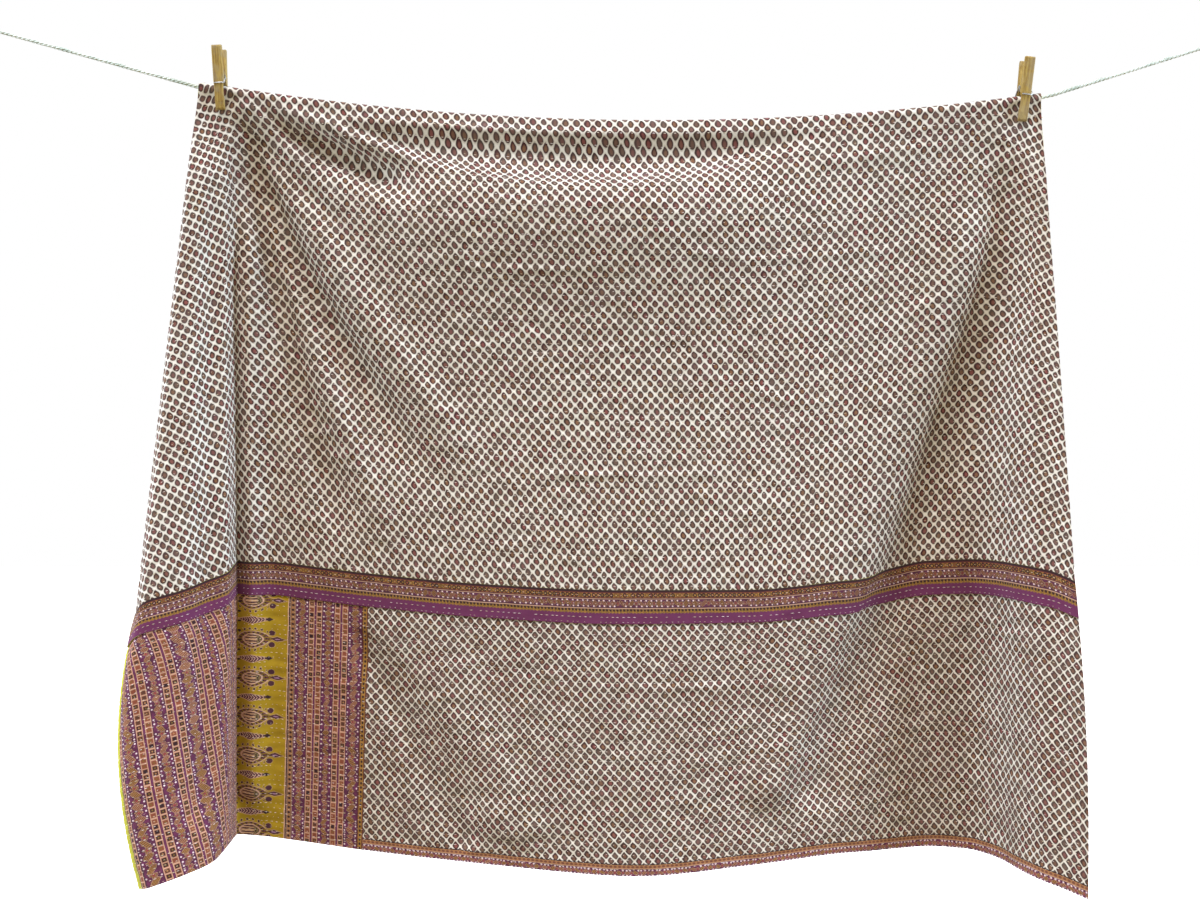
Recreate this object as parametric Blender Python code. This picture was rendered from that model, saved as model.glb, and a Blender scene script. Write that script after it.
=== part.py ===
"""A kantha quilt folded over a clothes line and held at its corners by two wooden spring pegs.

The line runs between two screwed wall plates. The origin is the middle of the left plate's wall face,
+X runs along the line, +Y away from the quilt's front and +Z up. The tables are in millimetres, with
drops measured down from the origin and depths measured along +Y, so a negative depth is nearer the front.
"""
from math import cos, pi, radians, sin, sqrt

import bmesh
import bpy
import numpy as np
from mathutils import Matrix, Vector

MM = 0.001
GAP = 0.3                       # between pieces that touch

# The line and what it is tied to
SPAN = 1857                     # between the wall faces of the two plates
EYE_INSET = 14                  # from a plate's wall face to the middle of its eye
RIGHT_EYE_DROP = 22
LINE_DIAMETER = 5.5
LINE_SAG = 46                   # at mid quilt, below the chord between the quilt's ends
LINE_POINTS = 48

# The quilt
QUILT_LEFT, QUILT_RIGHT = 357, 1557      # its ends on the line
LINE_DROP_LEFT, LINE_DROP_RIGHT = 96, 112
CLOTH = 2.5                     # thickness of the stitched layers
OVER_LINE = 6.8                 # radius of the middle of the cloth where it turns over the line
TURN_FADE = 70                  # how far down the cloth keeps part of that radius
FOLD_FADE = 22                  # how far below the line a fold takes to reach its height
SHOULDER = 0.22                 # share of the way from line to band where shoulder_y is given
SHOULDER_SLOPE = 0.9            # steepness at the shoulder, as a share of band_y
BAND_HEIGHT = 0.116             # share of the way from band top to hem that the band covers
BACK_DROP = 1040
BACK_LEAN = 84                  # how far the back has swung away from the line at its hem
BACK_SWING = 0.62               # power of the drop with which it swings away
BACK_FLARE = 46                 # how much wider each side of the back is at its hem

FRONT_DROP = 700                # from line to band, near enough to space the mesh rows
NECK_ROWS = (10, 21, 35)        # mesh rows below the line, on both sides, for the pegs to sit on
UPPER_ROWS, BAND_ROWS, TURN_ROWS, BACK_ROWS, LOWER_ROWS = 17, 2, 6, 10, 8
ROW_CROWDING = 1.3              # further down, rows lie closer together towards the line

# A row for each section across the quilt, from left to right. columns counts the mesh columns to the
# next section, bow bends the section sideways half way between band and hem.
SECTIONS = (
    # name          columns line_x shoulder_y band_x band_drop band_y  bow  hem_x hem_drop hem_y
    ("left edge",      1,     357,    -20,      285,    844,    -62,   -26,  301,  1212,   -95),
    ("left roll",      2,     361,    -26,      303,    824,    -76,   -24,  321,  1205,  -112),
    ("flap middle",    2,     369,    -24,      347,    810,    -66,   -14,  365,  1192,   -95),
    ("flap inner",     2,     379,    -16,      385,    796,    -40,    -4,  393,  1183,   -62),
    ("fold lip",       4,     393,     -6,      402,    786,    -18,     0,  402,  1172,   -20),
    ("fold valley",    2,     409,     12,      403,    775,     22,     0,  401,  1171,    32),
    ("left hollow",    5,     446,     12,      448,    776,     28,     0,  448,  1176,    40),
    ("panel end",      6,     557,      4,      591,    792,     18,     0,  590,  1192,    26),
    ("left centre",    6,     721,     -4,      757,    806,      0,     0,  764,  1204,    -2),
    ("centre",         5,     957,     -8,      957,    814,    -12,     0,  978,  1216,   -22),
    ("right centre",   4,    1143,     -6,     1135,    814,     -6,     0, 1135,  1204,   -12),
    ("right slope",    4,    1286,      2,     1288,    799,     14,     0, 1288,  1192,    14),
    ("right hollow",   2,    1400,     10,     1410,    777,     44,     0, 1403,  1192,    48),
    ("fold foot",      2,    1460,     12,     1472,    774,     46,     0, 1463,  1197,    54),
    ("fold face",      2,    1500,      6,     1505,    775,     18,     0, 1503,  1200,    12),
    ("fold crest",     2,    1521,     -4,     1523,    777,    -14,     0, 1519,  1204,   -28),
    ("right flap",     2,    1540,    -14,     1555,    783,    -45,     3, 1554,  1212,   -78),
    ("right edge",     0,    1557,    -16,     1591,    798,    -50,     7, 1596,  1228,   -90),
)
SECTION_COLUMNS = ("name", "columns", "line_x", "shoulder_y", "band_x", "band_drop", "band_y", "bow",
                   "hem_x", "hem_drop", "hem_y")

# A row for each crease of the front: a bowed path from start by way of via to end, its rise towards
# the front (a valley is negative), its reach above and below the path, and the share of the path over
# which it fades in and out (1 is no fade).
FRONT_CREASES = (
    # start_x  drop   via_x  drop   end_x  drop   rise above below fade_in fade_out
    (  479,    116,    871,   361,   1400,  131,   34,   46,  150,  0.4,    0.45),  # swag under the line
    (  423,    119,    543,   208,    686,  242,  -13,   20,   23,  0.3,    0.3),   # tuck below it
    (  423,    154,    500,   442,    736,  714,  -11,   23,   29,  0.2,    0.3),   # long valley
    (  500,    242,    593,   456,    786,  671,    6,   23,   31,  0.3,    0.3),   # ridge beside it
    (  411,    185,    486,   471,    579,  771,   -8,   26,   23,  0.2,    0.2),   # side valley
    (  486,    442,    564,   599,    643,  771,    5,   20,   23,  0.3,    0.3),   # ridge beside it
    ( 1526,    149,   1443,   571,   1164, 1164,  -15,   43,   34,  0.15,   0.2),   # right valley
    ( 1500,    171,   1357,   571,   1143, 1028,    9,   57,   49,  0.2,    0.3),   # ridge beside it
    (  621,    878,    679,   999,    774, 1149,   -8,   29,   26,  0.25,   0.15),  # low valley
    (  671,    899,    743,  1028,    843, 1185,    6,   37,   37,  0.25,   0.1),   # ridge beside it
)
BACK_CREASES = (
    # start_x  drop   via_x  drop   end_x  drop   rise above below fade_in fade_out
    (  440,    150,    430,   600,    400, 1150,   18,   40,   40,  0.3,    1.0),
    (  700,    200,    690,   700,    640, 1150,   10,   60,   60,  0.4,    1.0),
    (  960,    190,   1000,   700,   1010, 1160,   13,   70,   70,  0.4,    1.0),
    ( 1290,    200,   1270,   700,   1290, 1160,   10,   60,   60,  0.4,    1.0),
    ( 1480,    160,   1500,   600,   1520, 1150,   17,   40,   40,  0.3,    1.0),
)
PATH_STEPS = 20                 # straight pieces that stand for a crease's path

# The pegs
PEG_LENGTH = 90
PEG_HALF_WIDTH = 7.0
PEG_CHAMFER = 0.8
JAW_HALF_GAP = 3.7              # from the middle of a peg to a jaw's face
LINE_NOTCH_HEIGHT = 29          # above the tip, as is all below
LINE_NOTCH_RADIUS = 9.5
LINE_NOTCH_SLACK = 4.5
COIL_HEIGHT = 47.5
COIL_NOTCH_RADIUS = 4.4
WIRE = 1.8
WIRE_HEIGHT = 37                # where the spring crosses a leg's outer face
PEG_TIP_NARROWING = 0.6         # of each side of the jaws
LEG_OUTER_FACE = ((0, 8.2), (2, 9.8), (12, 11.4), (29, 12.8), (88, 17.4), (90, 16.4))   # height, depth
LEG_TAIL_INNER_FACE = ((52.1, 3.9), (88, 9.6), (90, 10.4))
SPRING_TURNS, SPRING_STEPS = 4, 9
SPRING_ENDS = 0.35 * pi         # how far below the level the coil starts and ends
PINCH_HALF_WIDTH = 15           # of the cloth that a peg presses together
PINCH_FADE = 28                 # beyond that width
PINCHED_DEPTH = 1.6             # of the middle of each pressed layer
PINCH_TOP = 9                   # below the line, where the layers first meet
PINCH_HOLD = 8                  # below the tip, where they start to part
PINCH_OPENING = 90              # over which they part
PEGS = (
    # name     x     bite  lean
    ("left",   387,   28,  -2.5),
    ("right", 1533,   30,   6.0),
)

# The fittings at the ends of the line
PLATE_THICKNESS, PLATE_WIDTH, PLATE_HEIGHT = 4, 36, 64
EYE_RADIUS, EYE_WIRE = 11, 5
SCREW_OFFSET, SCREW_RADIUS, SCREW_HEIGHT = 24, 4.5, 2.6
PLATE_CORNER = 5
SCREW_DOME = (0, 0.45, 0.8, 0.97)        # shares of the height at which its rings lie
HITCH_RADIUS = 5.7              # of the loop round the eye
HITCH_LEGS = ((19, 5.2), (27, 3.7), (34, 2.9))        # along the line, off its middle
HITCH_END = 38                  # where the loop turns back, inside the binding
BINDING = ((30, 5.6), (32, 7.2), (44, 7.2), (46, 5.2))     # along the line, radius


def section_values(name):
    """One named column of the section table."""
    return [row[SECTION_COLUMNS.index(name)] for row in SECTIONS]


def smooth_through(values, places):
    """A smooth curve through evenly numbered values that never swings past them."""
    values = np.asarray(values, float)
    rises = np.diff(values)
    slopes = np.zeros(len(values))
    slopes[0], slopes[-1] = rises[0], rises[-1]
    same_way = rises[:-1] * rises[1:] > 0
    pairs = np.where(same_way, rises[:-1] + rises[1:], 1.0)
    slopes[1:-1] = np.where(same_way, 2 * rises[:-1] * rises[1:] / pairs, 0.0)
    places = np.clip(np.asarray(places, float), 0, len(values) - 1)
    first = np.minimum(places.astype(int), len(values) - 2)
    t = places - first
    return cubic(values[first], values[first + 1], slopes[first], slopes[first + 1], t)


def cubic(start, end, start_slope, end_slope, t):
    """The cubic curve between two values with given slopes."""
    return ((1 + 2 * t) * (1 - t) ** 2 * start + t * (1 - t) ** 2 * start_slope
            + t * t * (3 - 2 * t) * end + t * t * (t - 1) * end_slope)


def ease(t):
    """From 0 to 1 with a soft start and end."""
    t = np.clip(t, 0, 1)
    return t * t * (3 - 2 * t)


def line_drop(x):
    """The line's middle, below the origin."""
    x = np.asarray(x, float)
    share = np.clip((x - QUILT_LEFT) / (QUILT_RIGHT - QUILT_LEFT), 0, 1)
    loaded = (LINE_DROP_LEFT + (LINE_DROP_RIGHT - LINE_DROP_LEFT) * share
              + LINE_SAG * 4 * share * (1 - share))
    to_left = np.clip((QUILT_LEFT - x) / (QUILT_LEFT - EYE_INSET), 0, None)
    to_right = np.clip((x - QUILT_RIGHT) / (SPAN - EYE_INSET - QUILT_RIGHT), 0, None)
    return loaded - to_left * LINE_DROP_LEFT - to_right * (LINE_DROP_RIGHT - RIGHT_EYE_DROP)


def crease_rise(x, drop, crease):
    """How far one crease lifts the cloth at a place."""
    x0, z0, x1, z1, x2, z2, rise, above, below, fade_in, fade_out = crease
    steps = np.linspace(0, 1, PATH_STEPS + 1)
    path_x = (1 - steps) ** 2 * x0 + 2 * steps * (1 - steps) * x1 + steps ** 2 * x2
    path_z = (1 - steps) ** 2 * z0 + 2 * steps * (1 - steps) * z1 + steps ** 2 * z2
    nearest = np.full(x.shape, 1e9)
    side = np.zeros(x.shape)
    along = np.zeros(x.shape)
    for i in range(PATH_STEPS):
        run_x, run_z = path_x[i + 1] - path_x[i], path_z[i + 1] - path_z[i]
        off_x, off_z = x - path_x[i], drop - path_z[i]
        t = np.clip((off_x * run_x + off_z * run_z) / (run_x ** 2 + run_z ** 2), 0, 1)
        distance = np.hypot(off_x - t * run_x, off_z - t * run_z)
        closer = distance < nearest
        nearest = np.where(closer, distance, nearest)
        side = np.where(closer, run_x * off_z - run_z * off_x, side)
        along = np.where(closer, (i + t) / PATH_STEPS, along)
    reach = np.where(side > 0, below, above)
    start = ease(along / fade_in) if fade_in < 1 else 1.0
    end = ease((1 - along) / fade_out) if fade_out < 1 else 1.0
    return rise * start * end * np.exp(-(nearest / reach) ** 2)


def pinch(x, below, depth, pressed):
    """Presses the cloth to the depth pressed between the jaws of each peg."""
    for peg_x, bite in (peg[1:3] for peg in PEGS):
        beside = 1 - ease((np.abs(x - peg_x) - PINCH_HALF_WIDTH) / PINCH_FADE)
        height = np.clip(below / PINCH_TOP, 0, 1) * (1 - ease((below - bite - PINCH_HOLD) / PINCH_OPENING))
        weight = beside * height
        depth = depth * (1 - weight) + pressed * weight
    return depth


def front_cloth(section, level):
    """A point of the front. level is 0 at the line, 1 at the band's top and 2 at the hem."""
    line_x, band_x, hem_x = (smooth_through(section_values(n), section) for n in ("line_x", "band_x", "hem_x"))
    band_drop, hem_drop = (smooth_through(section_values(n), section) for n in ("band_drop", "hem_drop"))
    shoulder_y, band_y, hem_y = (smooth_through(section_values(n), section)
                                 for n in ("shoulder_y", "band_y", "hem_y"))
    upper, lower = np.clip(level, 0, 1), np.clip(level - 1, 0, 1)
    top = line_drop(line_x)
    bow = smooth_through(section_values("bow"), section) * 4 * lower * (1 - lower)
    x = line_x + (band_x - line_x) * upper + (hem_x - band_x) * lower + bow
    drop = top + (band_drop - top) * upper + (hem_drop - band_drop) * lower

    below_shoulder = 1 - SHOULDER
    shoulder_slope = SHOULDER_SLOPE * band_y
    band_slope = ((band_y - shoulder_y) / below_shoulder + hem_y - band_y) / 2
    depth = np.where(
        level < SHOULDER,
        cubic(0, shoulder_y, shoulder_y, shoulder_slope * SHOULDER, np.clip(level / SHOULDER, 0, 1)),
        np.where(level < 1,
                 cubic(shoulder_y, band_y, shoulder_slope * below_shoulder, band_slope * below_shoulder,
                       np.clip((level - SHOULDER) / below_shoulder, 0, 1)),
                 cubic(band_y, hem_y, band_slope, hem_y - band_y, lower)))
    below = drop - top
    depth = depth - OVER_LINE * np.exp(-below / TURN_FADE)
    rise = sum(crease_rise(x, drop, crease) for crease in FRONT_CREASES)
    depth = depth - rise * (1 - np.exp(-(below / FOLD_FADE) ** 2))
    return x, pinch(x, below, depth, -PINCHED_DEPTH), -drop


def back_cloth(section, level):
    """A point of the back. level is 0 at the line and 1 at the hem."""
    line_x = smooth_through(section_values("line_x"), section)
    share = (line_x - QUILT_LEFT) / (QUILT_RIGHT - QUILT_LEFT)
    top = line_drop(line_x)
    below = BACK_DROP * level
    x = line_x + BACK_FLARE * (2 * share - 1) * level
    drop = top + below
    depth = OVER_LINE * np.exp(-below / TURN_FADE) + BACK_LEAN * level ** BACK_SWING
    rise = sum(crease_rise(x, drop, crease) for crease in BACK_CREASES)
    depth = depth + rise * (1 - np.exp(-(below / FOLD_FADE) ** 2))
    return x, pinch(x, below, depth, PINCHED_DEPTH), -drop


def turn_over_line(section, angle):
    """A point of the cloth over the line. angle is 0 at the back and pi at the front."""
    line_x = smooth_through(section_values("line_x"), section)
    return line_x, OVER_LINE * np.cos(angle) + 0 * line_x, OVER_LINE * np.sin(angle) - line_drop(line_x)


def mesh_columns():
    """Places across the quilt, in sections, as the table spaces them."""
    places = [0.0]
    for number, count in enumerate(section_values("columns")):
        places += [number + (k + 1) / count for k in range(count)]
    return np.array(places)


def row_shares(drop, rows):
    """Shares of a drop, from 0 to 1: the neck rows, then rows that lie closer together at the top."""
    neck = NECK_ROWS[-1] / drop
    return ([0.0] + [below / drop for below in NECK_ROWS]
            + [neck + (1 - neck) * ((k + 1) / rows) ** ROW_CROWDING for k in range(rows)])


def cloth_rows(columns):
    """Middle of the cloth in rows, from the back's hem over the line to the front's hem, and the number
    of rows down to the seam, where the rows of the two panels lie a gap apart."""
    level = 0 * columns
    rows = [back_cloth(columns, share + level) for share in reversed(row_shares(BACK_DROP, BACK_ROWS))]
    rows += [turn_over_line(columns, pi * k / TURN_ROWS) for k in range(1, TURN_ROWS)]
    rows += [front_cloth(columns, share + level) for share in row_shares(FRONT_DROP, UPPER_ROWS)]
    rows += [front_cloth(columns, 1 + BAND_HEIGHT * (k + 1) / BAND_ROWS + level) for k in range(BAND_ROWS)]
    seam_row = len(rows)
    band_to_hem = (smooth_through(section_values("hem_drop"), columns)
                   - smooth_through(section_values("band_drop"), columns))
    under_seam = BAND_HEIGHT + GAP / band_to_hem
    rows += [front_cloth(columns, 1 + under_seam + (1 - under_seam) * k / LOWER_ROWS)
             for k in range(LOWER_ROWS + 1)]
    return np.array(rows).transpose(0, 2, 1), seam_row


def outward(points):
    """Directions square to the cloth, towards its printed face, at each point of its rows."""
    down, right = np.gradient(points, axis=0), np.gradient(points, axis=1)
    square = np.cross(down, right)
    return square / np.linalg.norm(square, axis=2, keepdims=True)


def finish(bm, name, material, smooth_angle=40):
    """A mesh object from a bmesh in millimetres."""
    bmesh.ops.scale(bm, vec=(MM, MM, MM), verts=bm.verts)
    mesh = bpy.data.meshes.new(name)
    bm.to_mesh(mesh)
    bm.free()
    mesh.materials.append(material)
    mesh.shade_smooth()
    mesh.set_sharp_from_angle(angle=radians(smooth_angle))
    piece = bpy.data.objects.new(name, mesh)
    bpy.context.collection.objects.link(piece)
    return piece


def finish_material(name, colour, roughness, metallic=0.0):
    """A plain Principled material."""
    material = bpy.data.materials.new(name)
    material.use_nodes = True
    shader = material.node_tree.nodes["Principled BSDF"]
    shader.inputs["Base Color"].default_value = (*colour, 1.0)
    shader.inputs["Roughness"].default_value = roughness
    shader.inputs["Metallic"].default_value = metallic
    return material


def cloth_sheet(name, middle, facing, material):
    """A closed sheet of cloth with its thickness, from rows of mid-surface points and directions."""
    bm = bmesh.new()
    face, reverse = ([[bm.verts.new(point) for point in row] for row in middle + offset * facing]
                     for offset in (CLOTH / 2, -CLOTH / 2))
    for i in range(len(face) - 1):
        for k in range(len(face[0]) - 1):
            # Both skins are split along the same diagonal, so that they stay apart where the cloth twists.
            for corners in (((i, k), (i + 1, k), (i + 1, k + 1)), ((i, k), (i + 1, k + 1), (i, k + 1))):
                bm.faces.new([face[r][c] for r, c in corners])
                bm.faces.new([reverse[r][c] for r, c in reversed(corners)])
    top = list(zip(face[0], reverse[0]))
    bottom = list(zip(face[-1], reverse[-1]))
    left = [(face_row[0], reverse_row[0]) for face_row, reverse_row in zip(face, reverse)]
    right = [(face_row[-1], reverse_row[-1]) for face_row, reverse_row in zip(face, reverse)]
    for edge in (top, bottom, left, right):
        for (near, under_near), (far, under_far) in zip(edge, edge[1:]):
            bm.faces.new((near, far, under_far, under_near))
    bmesh.ops.recalc_face_normals(bm, faces=bm.faces)
    return finish(bm, name, material, 60)


def tube(name, points, diameter, material, resolution=2):
    """A capped round tube along points."""
    curve = bpy.data.curves.new(name, "CURVE")
    curve.dimensions = "3D"
    spline = curve.splines.new("POLY")
    spline.points.add(len(points) - 1)
    for target, point in zip(spline.points, points):
        target.co = (*(Vector(point) * MM), 1)
    curve.bevel_depth = diameter * MM / 2
    curve.bevel_resolution = resolution
    curve.use_fill_caps = True
    curve.materials.append(material)
    piece = bpy.data.objects.new(name, curve)
    bpy.context.collection.objects.link(piece)
    return piece


def end_frame(side):
    """The middle of an eye, and the direction in which the line leaves it."""
    if side == "left":
        eye, foot = Vector((EYE_INSET, 0, 0)), Vector((QUILT_LEFT, 0, -LINE_DROP_LEFT))
    else:
        eye = Vector((SPAN - EYE_INSET, 0, -RIGHT_EYE_DROP))
        foot = Vector((QUILT_RIGHT, 0, -LINE_DROP_RIGHT))
    return eye, (foot - eye).normalized()


def make_line(material):
    """The line from binding to binding."""
    left_eye, left_way = end_frame("left")
    right_eye, right_way = end_frame("right")
    start = left_eye + left_way * (BINDING[-1][0] + GAP)
    end = right_eye + right_way * (BINDING[-1][0] + GAP)
    places = np.linspace(start.x, end.x, LINE_POINTS)
    return tube("line", [(x, 0, -drop) for x, drop in zip(places, line_drop(places))], LINE_DIAMETER, material)


def ring(bm, centre, radius, wire, steps, sides, axis_x, axis_y):
    """A closed round ring in the plane of two axes."""
    across = axis_x.cross(axis_y)
    loops = []
    for i in range(steps):
        turn = 2 * pi * i / steps
        out = axis_x * cos(turn) + axis_y * sin(turn)
        loops.append([bm.verts.new(centre + out * (radius + wire / 2 * cos(2 * pi * k / sides))
                                   + across * (wire / 2 * sin(2 * pi * k / sides))) for k in range(sides)])
    bridge_round(bm, loops, closed=True)


def bridge_round(bm, loops, closed=False):
    """Faces between loops of points, with end caps unless the loops close on themselves."""
    count = len(loops) if closed else len(loops) - 1
    for i in range(count):
        near, far = loops[i], loops[(i + 1) % len(loops)]
        for k in range(len(near)):
            bm.faces.new((near[k], near[(k + 1) % len(near)], far[(k + 1) % len(near)], far[k]))
    if not closed:
        bm.faces.new(loops[0][::-1])
        bm.faces.new(loops[-1])
    bmesh.ops.recalc_face_normals(bm, faces=bm.faces)


def join_solid(body, other):
    """Unites another closed object into body, and removes it."""
    union = body.modifiers.new("Join", "BOOLEAN")
    union.operation = "UNION"
    union.object = other
    depsgraph = bpy.context.evaluated_depsgraph_get()
    joined = bpy.data.meshes.new_from_object(body.evaluated_get(depsgraph))
    body.modifiers.clear()
    body.data = joined
    bpy.data.objects.remove(other)


def make_plate(side, metal):
    """A wall plate with its eye and two screws."""
    eye = end_frame(side)[0]
    inward = 1 if side == "left" else -1
    wall_x = 0 if side == "left" else SPAN
    bm = bmesh.new()
    bmesh.ops.create_cube(bm, size=1)
    bmesh.ops.scale(bm, vec=(PLATE_THICKNESS, PLATE_WIDTH, PLATE_HEIGHT), verts=bm.verts)
    bmesh.ops.bevel(bm, geom=[e for e in bm.edges if abs(e.verts[0].co.x - e.verts[1].co.x) > 1],
                    offset=PLATE_CORNER, segments=3, affect="EDGES")
    bmesh.ops.translate(bm, vec=(wall_x + inward * PLATE_THICKNESS / 2, 0, eye.z), verts=bm.verts)
    plate = finish(bm, side + "_plate", metal)
    bm = bmesh.new()
    ring(bm, eye, EYE_RADIUS, EYE_WIRE, 24, 8, Vector((1, 0, 0)), Vector((0, 0, 1)))
    join_solid(plate, finish(bm, side + "_eye", metal))
    for end, up in (("upper", 1), ("lower", -1)):
        bm = bmesh.new()
        foot_x = wall_x + inward * (PLATE_THICKNESS + GAP)
        loops = []
        for share in SCREW_DOME:
            radius = SCREW_RADIUS * sqrt(1 - share ** 2)
            loops.append([bm.verts.new((foot_x + inward * SCREW_HEIGHT * share,
                                        radius * cos(2 * pi * k / 12),
                                        eye.z + up * SCREW_OFFSET + radius * sin(2 * pi * k / 12)))
                          for k in range(12)])
        bridge_round(bm, loops)
        finish(bm, side + "_screw_" + end, metal)


def make_hitch(side, material):
    """The loop of line through an eye, with the binding that closes it."""
    eye, way = end_frame(side)
    across = Vector((0, 1, 0))
    turn_radius = HITCH_LEGS[-1][1]
    path = [(along, -off) for along, off in HITCH_LEGS]
    path += [(HITCH_END + turn_radius * sin(a), -turn_radius * cos(a)) for a in (pi * k / 4 for k in range(1, 4))]
    path += reversed(HITCH_LEGS)
    path += [(EYE_RADIUS - HITCH_RADIUS * sin(a), HITCH_RADIUS * cos(a)) for a in (pi * k / 8 for k in range(9))]
    bm = bmesh.new()
    loops = []
    for i, (along, off) in enumerate(path):
        before, after = path[i - 1], path[(i + 1) % len(path)]
        run = (way * (after[0] - before[0]) + across * (after[1] - before[1])).normalized()
        flat = way.cross(across)
        out = run.cross(flat)
        centre = eye + way * along + across * off
        loops.append([bm.verts.new(centre + (out * cos(2 * pi * k / 8) + flat * sin(2 * pi * k / 8))
                                   * LINE_DIAMETER / 2) for k in range(8)])
    bridge_round(bm, loops, closed=True)
    hitch = finish(bm, side + "_hitch", material)

    bm = bmesh.new()
    up = across.cross(way)
    loops = []
    for along, radius in BINDING:
        loops.append([bm.verts.new(eye + way * along + (across * cos(2 * pi * k / 12)
                                                        + up * sin(2 * pi * k / 12)) * radius)
                      for k in range(12)])
    bridge_round(bm, loops)
    join_solid(hitch, finish(bm, side + "_binding", material))


def leg_outer_face(height):
    """Depth of a leg's outer face from the peg's middle."""
    return float(np.interp(height, *zip(*LEG_OUTER_FACE)))


def leg_rows():
    """Rows up a peg's leg: height above the tip, inner face and outer face from the peg's middle."""
    line_notch_half = sqrt(LINE_NOTCH_RADIUS ** 2 - JAW_HALF_GAP ** 2)
    coil_notch_half = sqrt(COIL_NOTCH_RADIUS ** 2 - JAW_HALF_GAP ** 2)
    rows = [(0, JAW_HALF_GAP + 0.4), (2, JAW_HALF_GAP), (12, JAW_HALF_GAP)]
    for share in (-1, -0.8, -0.5, 0):
        height = LINE_NOTCH_HEIGHT - LINE_NOTCH_SLACK + line_notch_half * share
        rows.append((height, sqrt(LINE_NOTCH_RADIUS ** 2 - (line_notch_half * share) ** 2)))
    for share in (0, 0.5, 0.8, 1):
        height = LINE_NOTCH_HEIGHT + LINE_NOTCH_SLACK + line_notch_half * share
        rows.append((height, sqrt(LINE_NOTCH_RADIUS ** 2 - (line_notch_half * share) ** 2)))
    for share in (-1, 0, 1):
        rows.append((COIL_HEIGHT + coil_notch_half * share,
                     sqrt(COIL_NOTCH_RADIUS ** 2 - (coil_notch_half * share) ** 2)))
    rows += LEG_TAIL_INNER_FACE
    return [(height, inner, leg_outer_face(height)) for height, inner in rows]


def peg_place(x, bite, lean):
    """Turns a peg's own frame, with its tip at the origin, into its place on the line."""
    on_line = Matrix.Translation((x, 0, -float(line_drop(x))))
    return on_line @ Matrix.Rotation(radians(lean), 4, "Y") @ Matrix.Translation((0, 0, -bite))


def make_leg(name, facing, place, wood):
    """One leg of a peg. facing is -1 for the front leg and 1 for the back leg."""
    bm = bmesh.new()
    loops = []
    for height, inner, outer in leg_rows():
        half = PEG_HALF_WIDTH - (PEG_TIP_NARROWING if height < WIRE_HEIGHT - 2 else 0)
        cut = PEG_CHAMFER
        corners = ((-half + cut, inner), (half - cut, inner), (half, inner + cut), (half, outer - cut),
                   (half - cut, outer), (-half + cut, outer), (-half, outer - cut), (-half, inner + cut))
        loops.append([bm.verts.new(place @ Vector((x, facing * y, height))) for x, y in corners])
    bridge_round(bm, loops)
    return finish(bm, name, wood)


def make_spring(name, place, metal):
    """The wire that crosses the front leg, coils between the legs and crosses the back leg."""
    side = PEG_HALF_WIDTH + WIRE / 2 + GAP
    reach = leg_outer_face(WIRE_HEIGHT) + WIRE / 2 + GAP
    coil = COIL_NOTCH_RADIUS - GAP - WIRE / 2
    arm = [(-PEG_HALF_WIDTH + 1, -reach, WIRE_HEIGHT), (PEG_HALF_WIDTH - 1, -reach, WIRE_HEIGHT),
           (side, -reach + 1.6, WIRE_HEIGHT + 0.4), (side, -0.7 * reach, WIRE_HEIGHT + 5)]
    helix = []
    for i in range(SPRING_TURNS * SPRING_STEPS + 1):
        share = i / (SPRING_TURNS * SPRING_STEPS)
        turn = (2 * pi * SPRING_TURNS + 2 * SPRING_ENDS) * share - SPRING_ENDS
        helix.append((side * (1 - 2 * share), -coil * cos(turn), COIL_HEIGHT + coil * sin(turn)))
    other = [(-x, -y, z) for x, y, z in reversed(arm)]
    return tube(name, [place @ Vector(p) for p in arm + helix + other], WIRE, metal, 1)


def build():
    """The whole part."""
    for old in list(bpy.data.objects):
        bpy.data.objects.remove(old)
    printed = finish_material("printed_cotton", (0.56, 0.47, 0.43), 0.9)
    panelled = finish_material("panelled_cotton", (0.47, 0.33, 0.32), 0.9)
    rope = finish_material("rope", (0.72, 0.74, 0.68), 0.85)
    wood = finish_material("peg_wood", (0.55, 0.38, 0.16), 0.65)
    wire = finish_material("spring_wire", (0.55, 0.54, 0.52), 0.35, 1.0)
    metal = finish_material("plate_metal", (0.6, 0.61, 0.62), 0.45, 1.0)

    middle, seam_row = cloth_rows(mesh_columns())
    facing = outward(middle)
    cloth_sheet("upper_panel", middle[:seam_row], facing[:seam_row], printed)
    cloth_sheet("lower_panel", middle[seam_row:], facing[seam_row:], panelled)
    make_line(rope)
    for side in ("left", "right"):
        make_plate(side, metal)
        make_hitch(side, rope)
    for side, x, bite, lean in PEGS:
        place = peg_place(x, bite, lean)
        make_leg(side + "_peg_front_leg", -1, place, wood)
        make_leg(side + "_peg_back_leg", 1, place, wood)
        make_spring(side + "_peg_spring", place, wire)


build()
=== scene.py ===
# %% [markdown]
# # A kantha quilt on a clothes line
# The quilt is layered cotton, printed, and held together by long rows of running stitch. It is folded
# over a sagging line and held at its top corners by two wooden spring pegs. The solid model gives every
# piece its size and place, so this lesson starts by loading it, and then dresses it piece by piece.

# %% Load the solid model
from math import cos, pi, radians, sin, tan

import bpy
import numpy as np
from mathutils import Matrix, Vector


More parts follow.
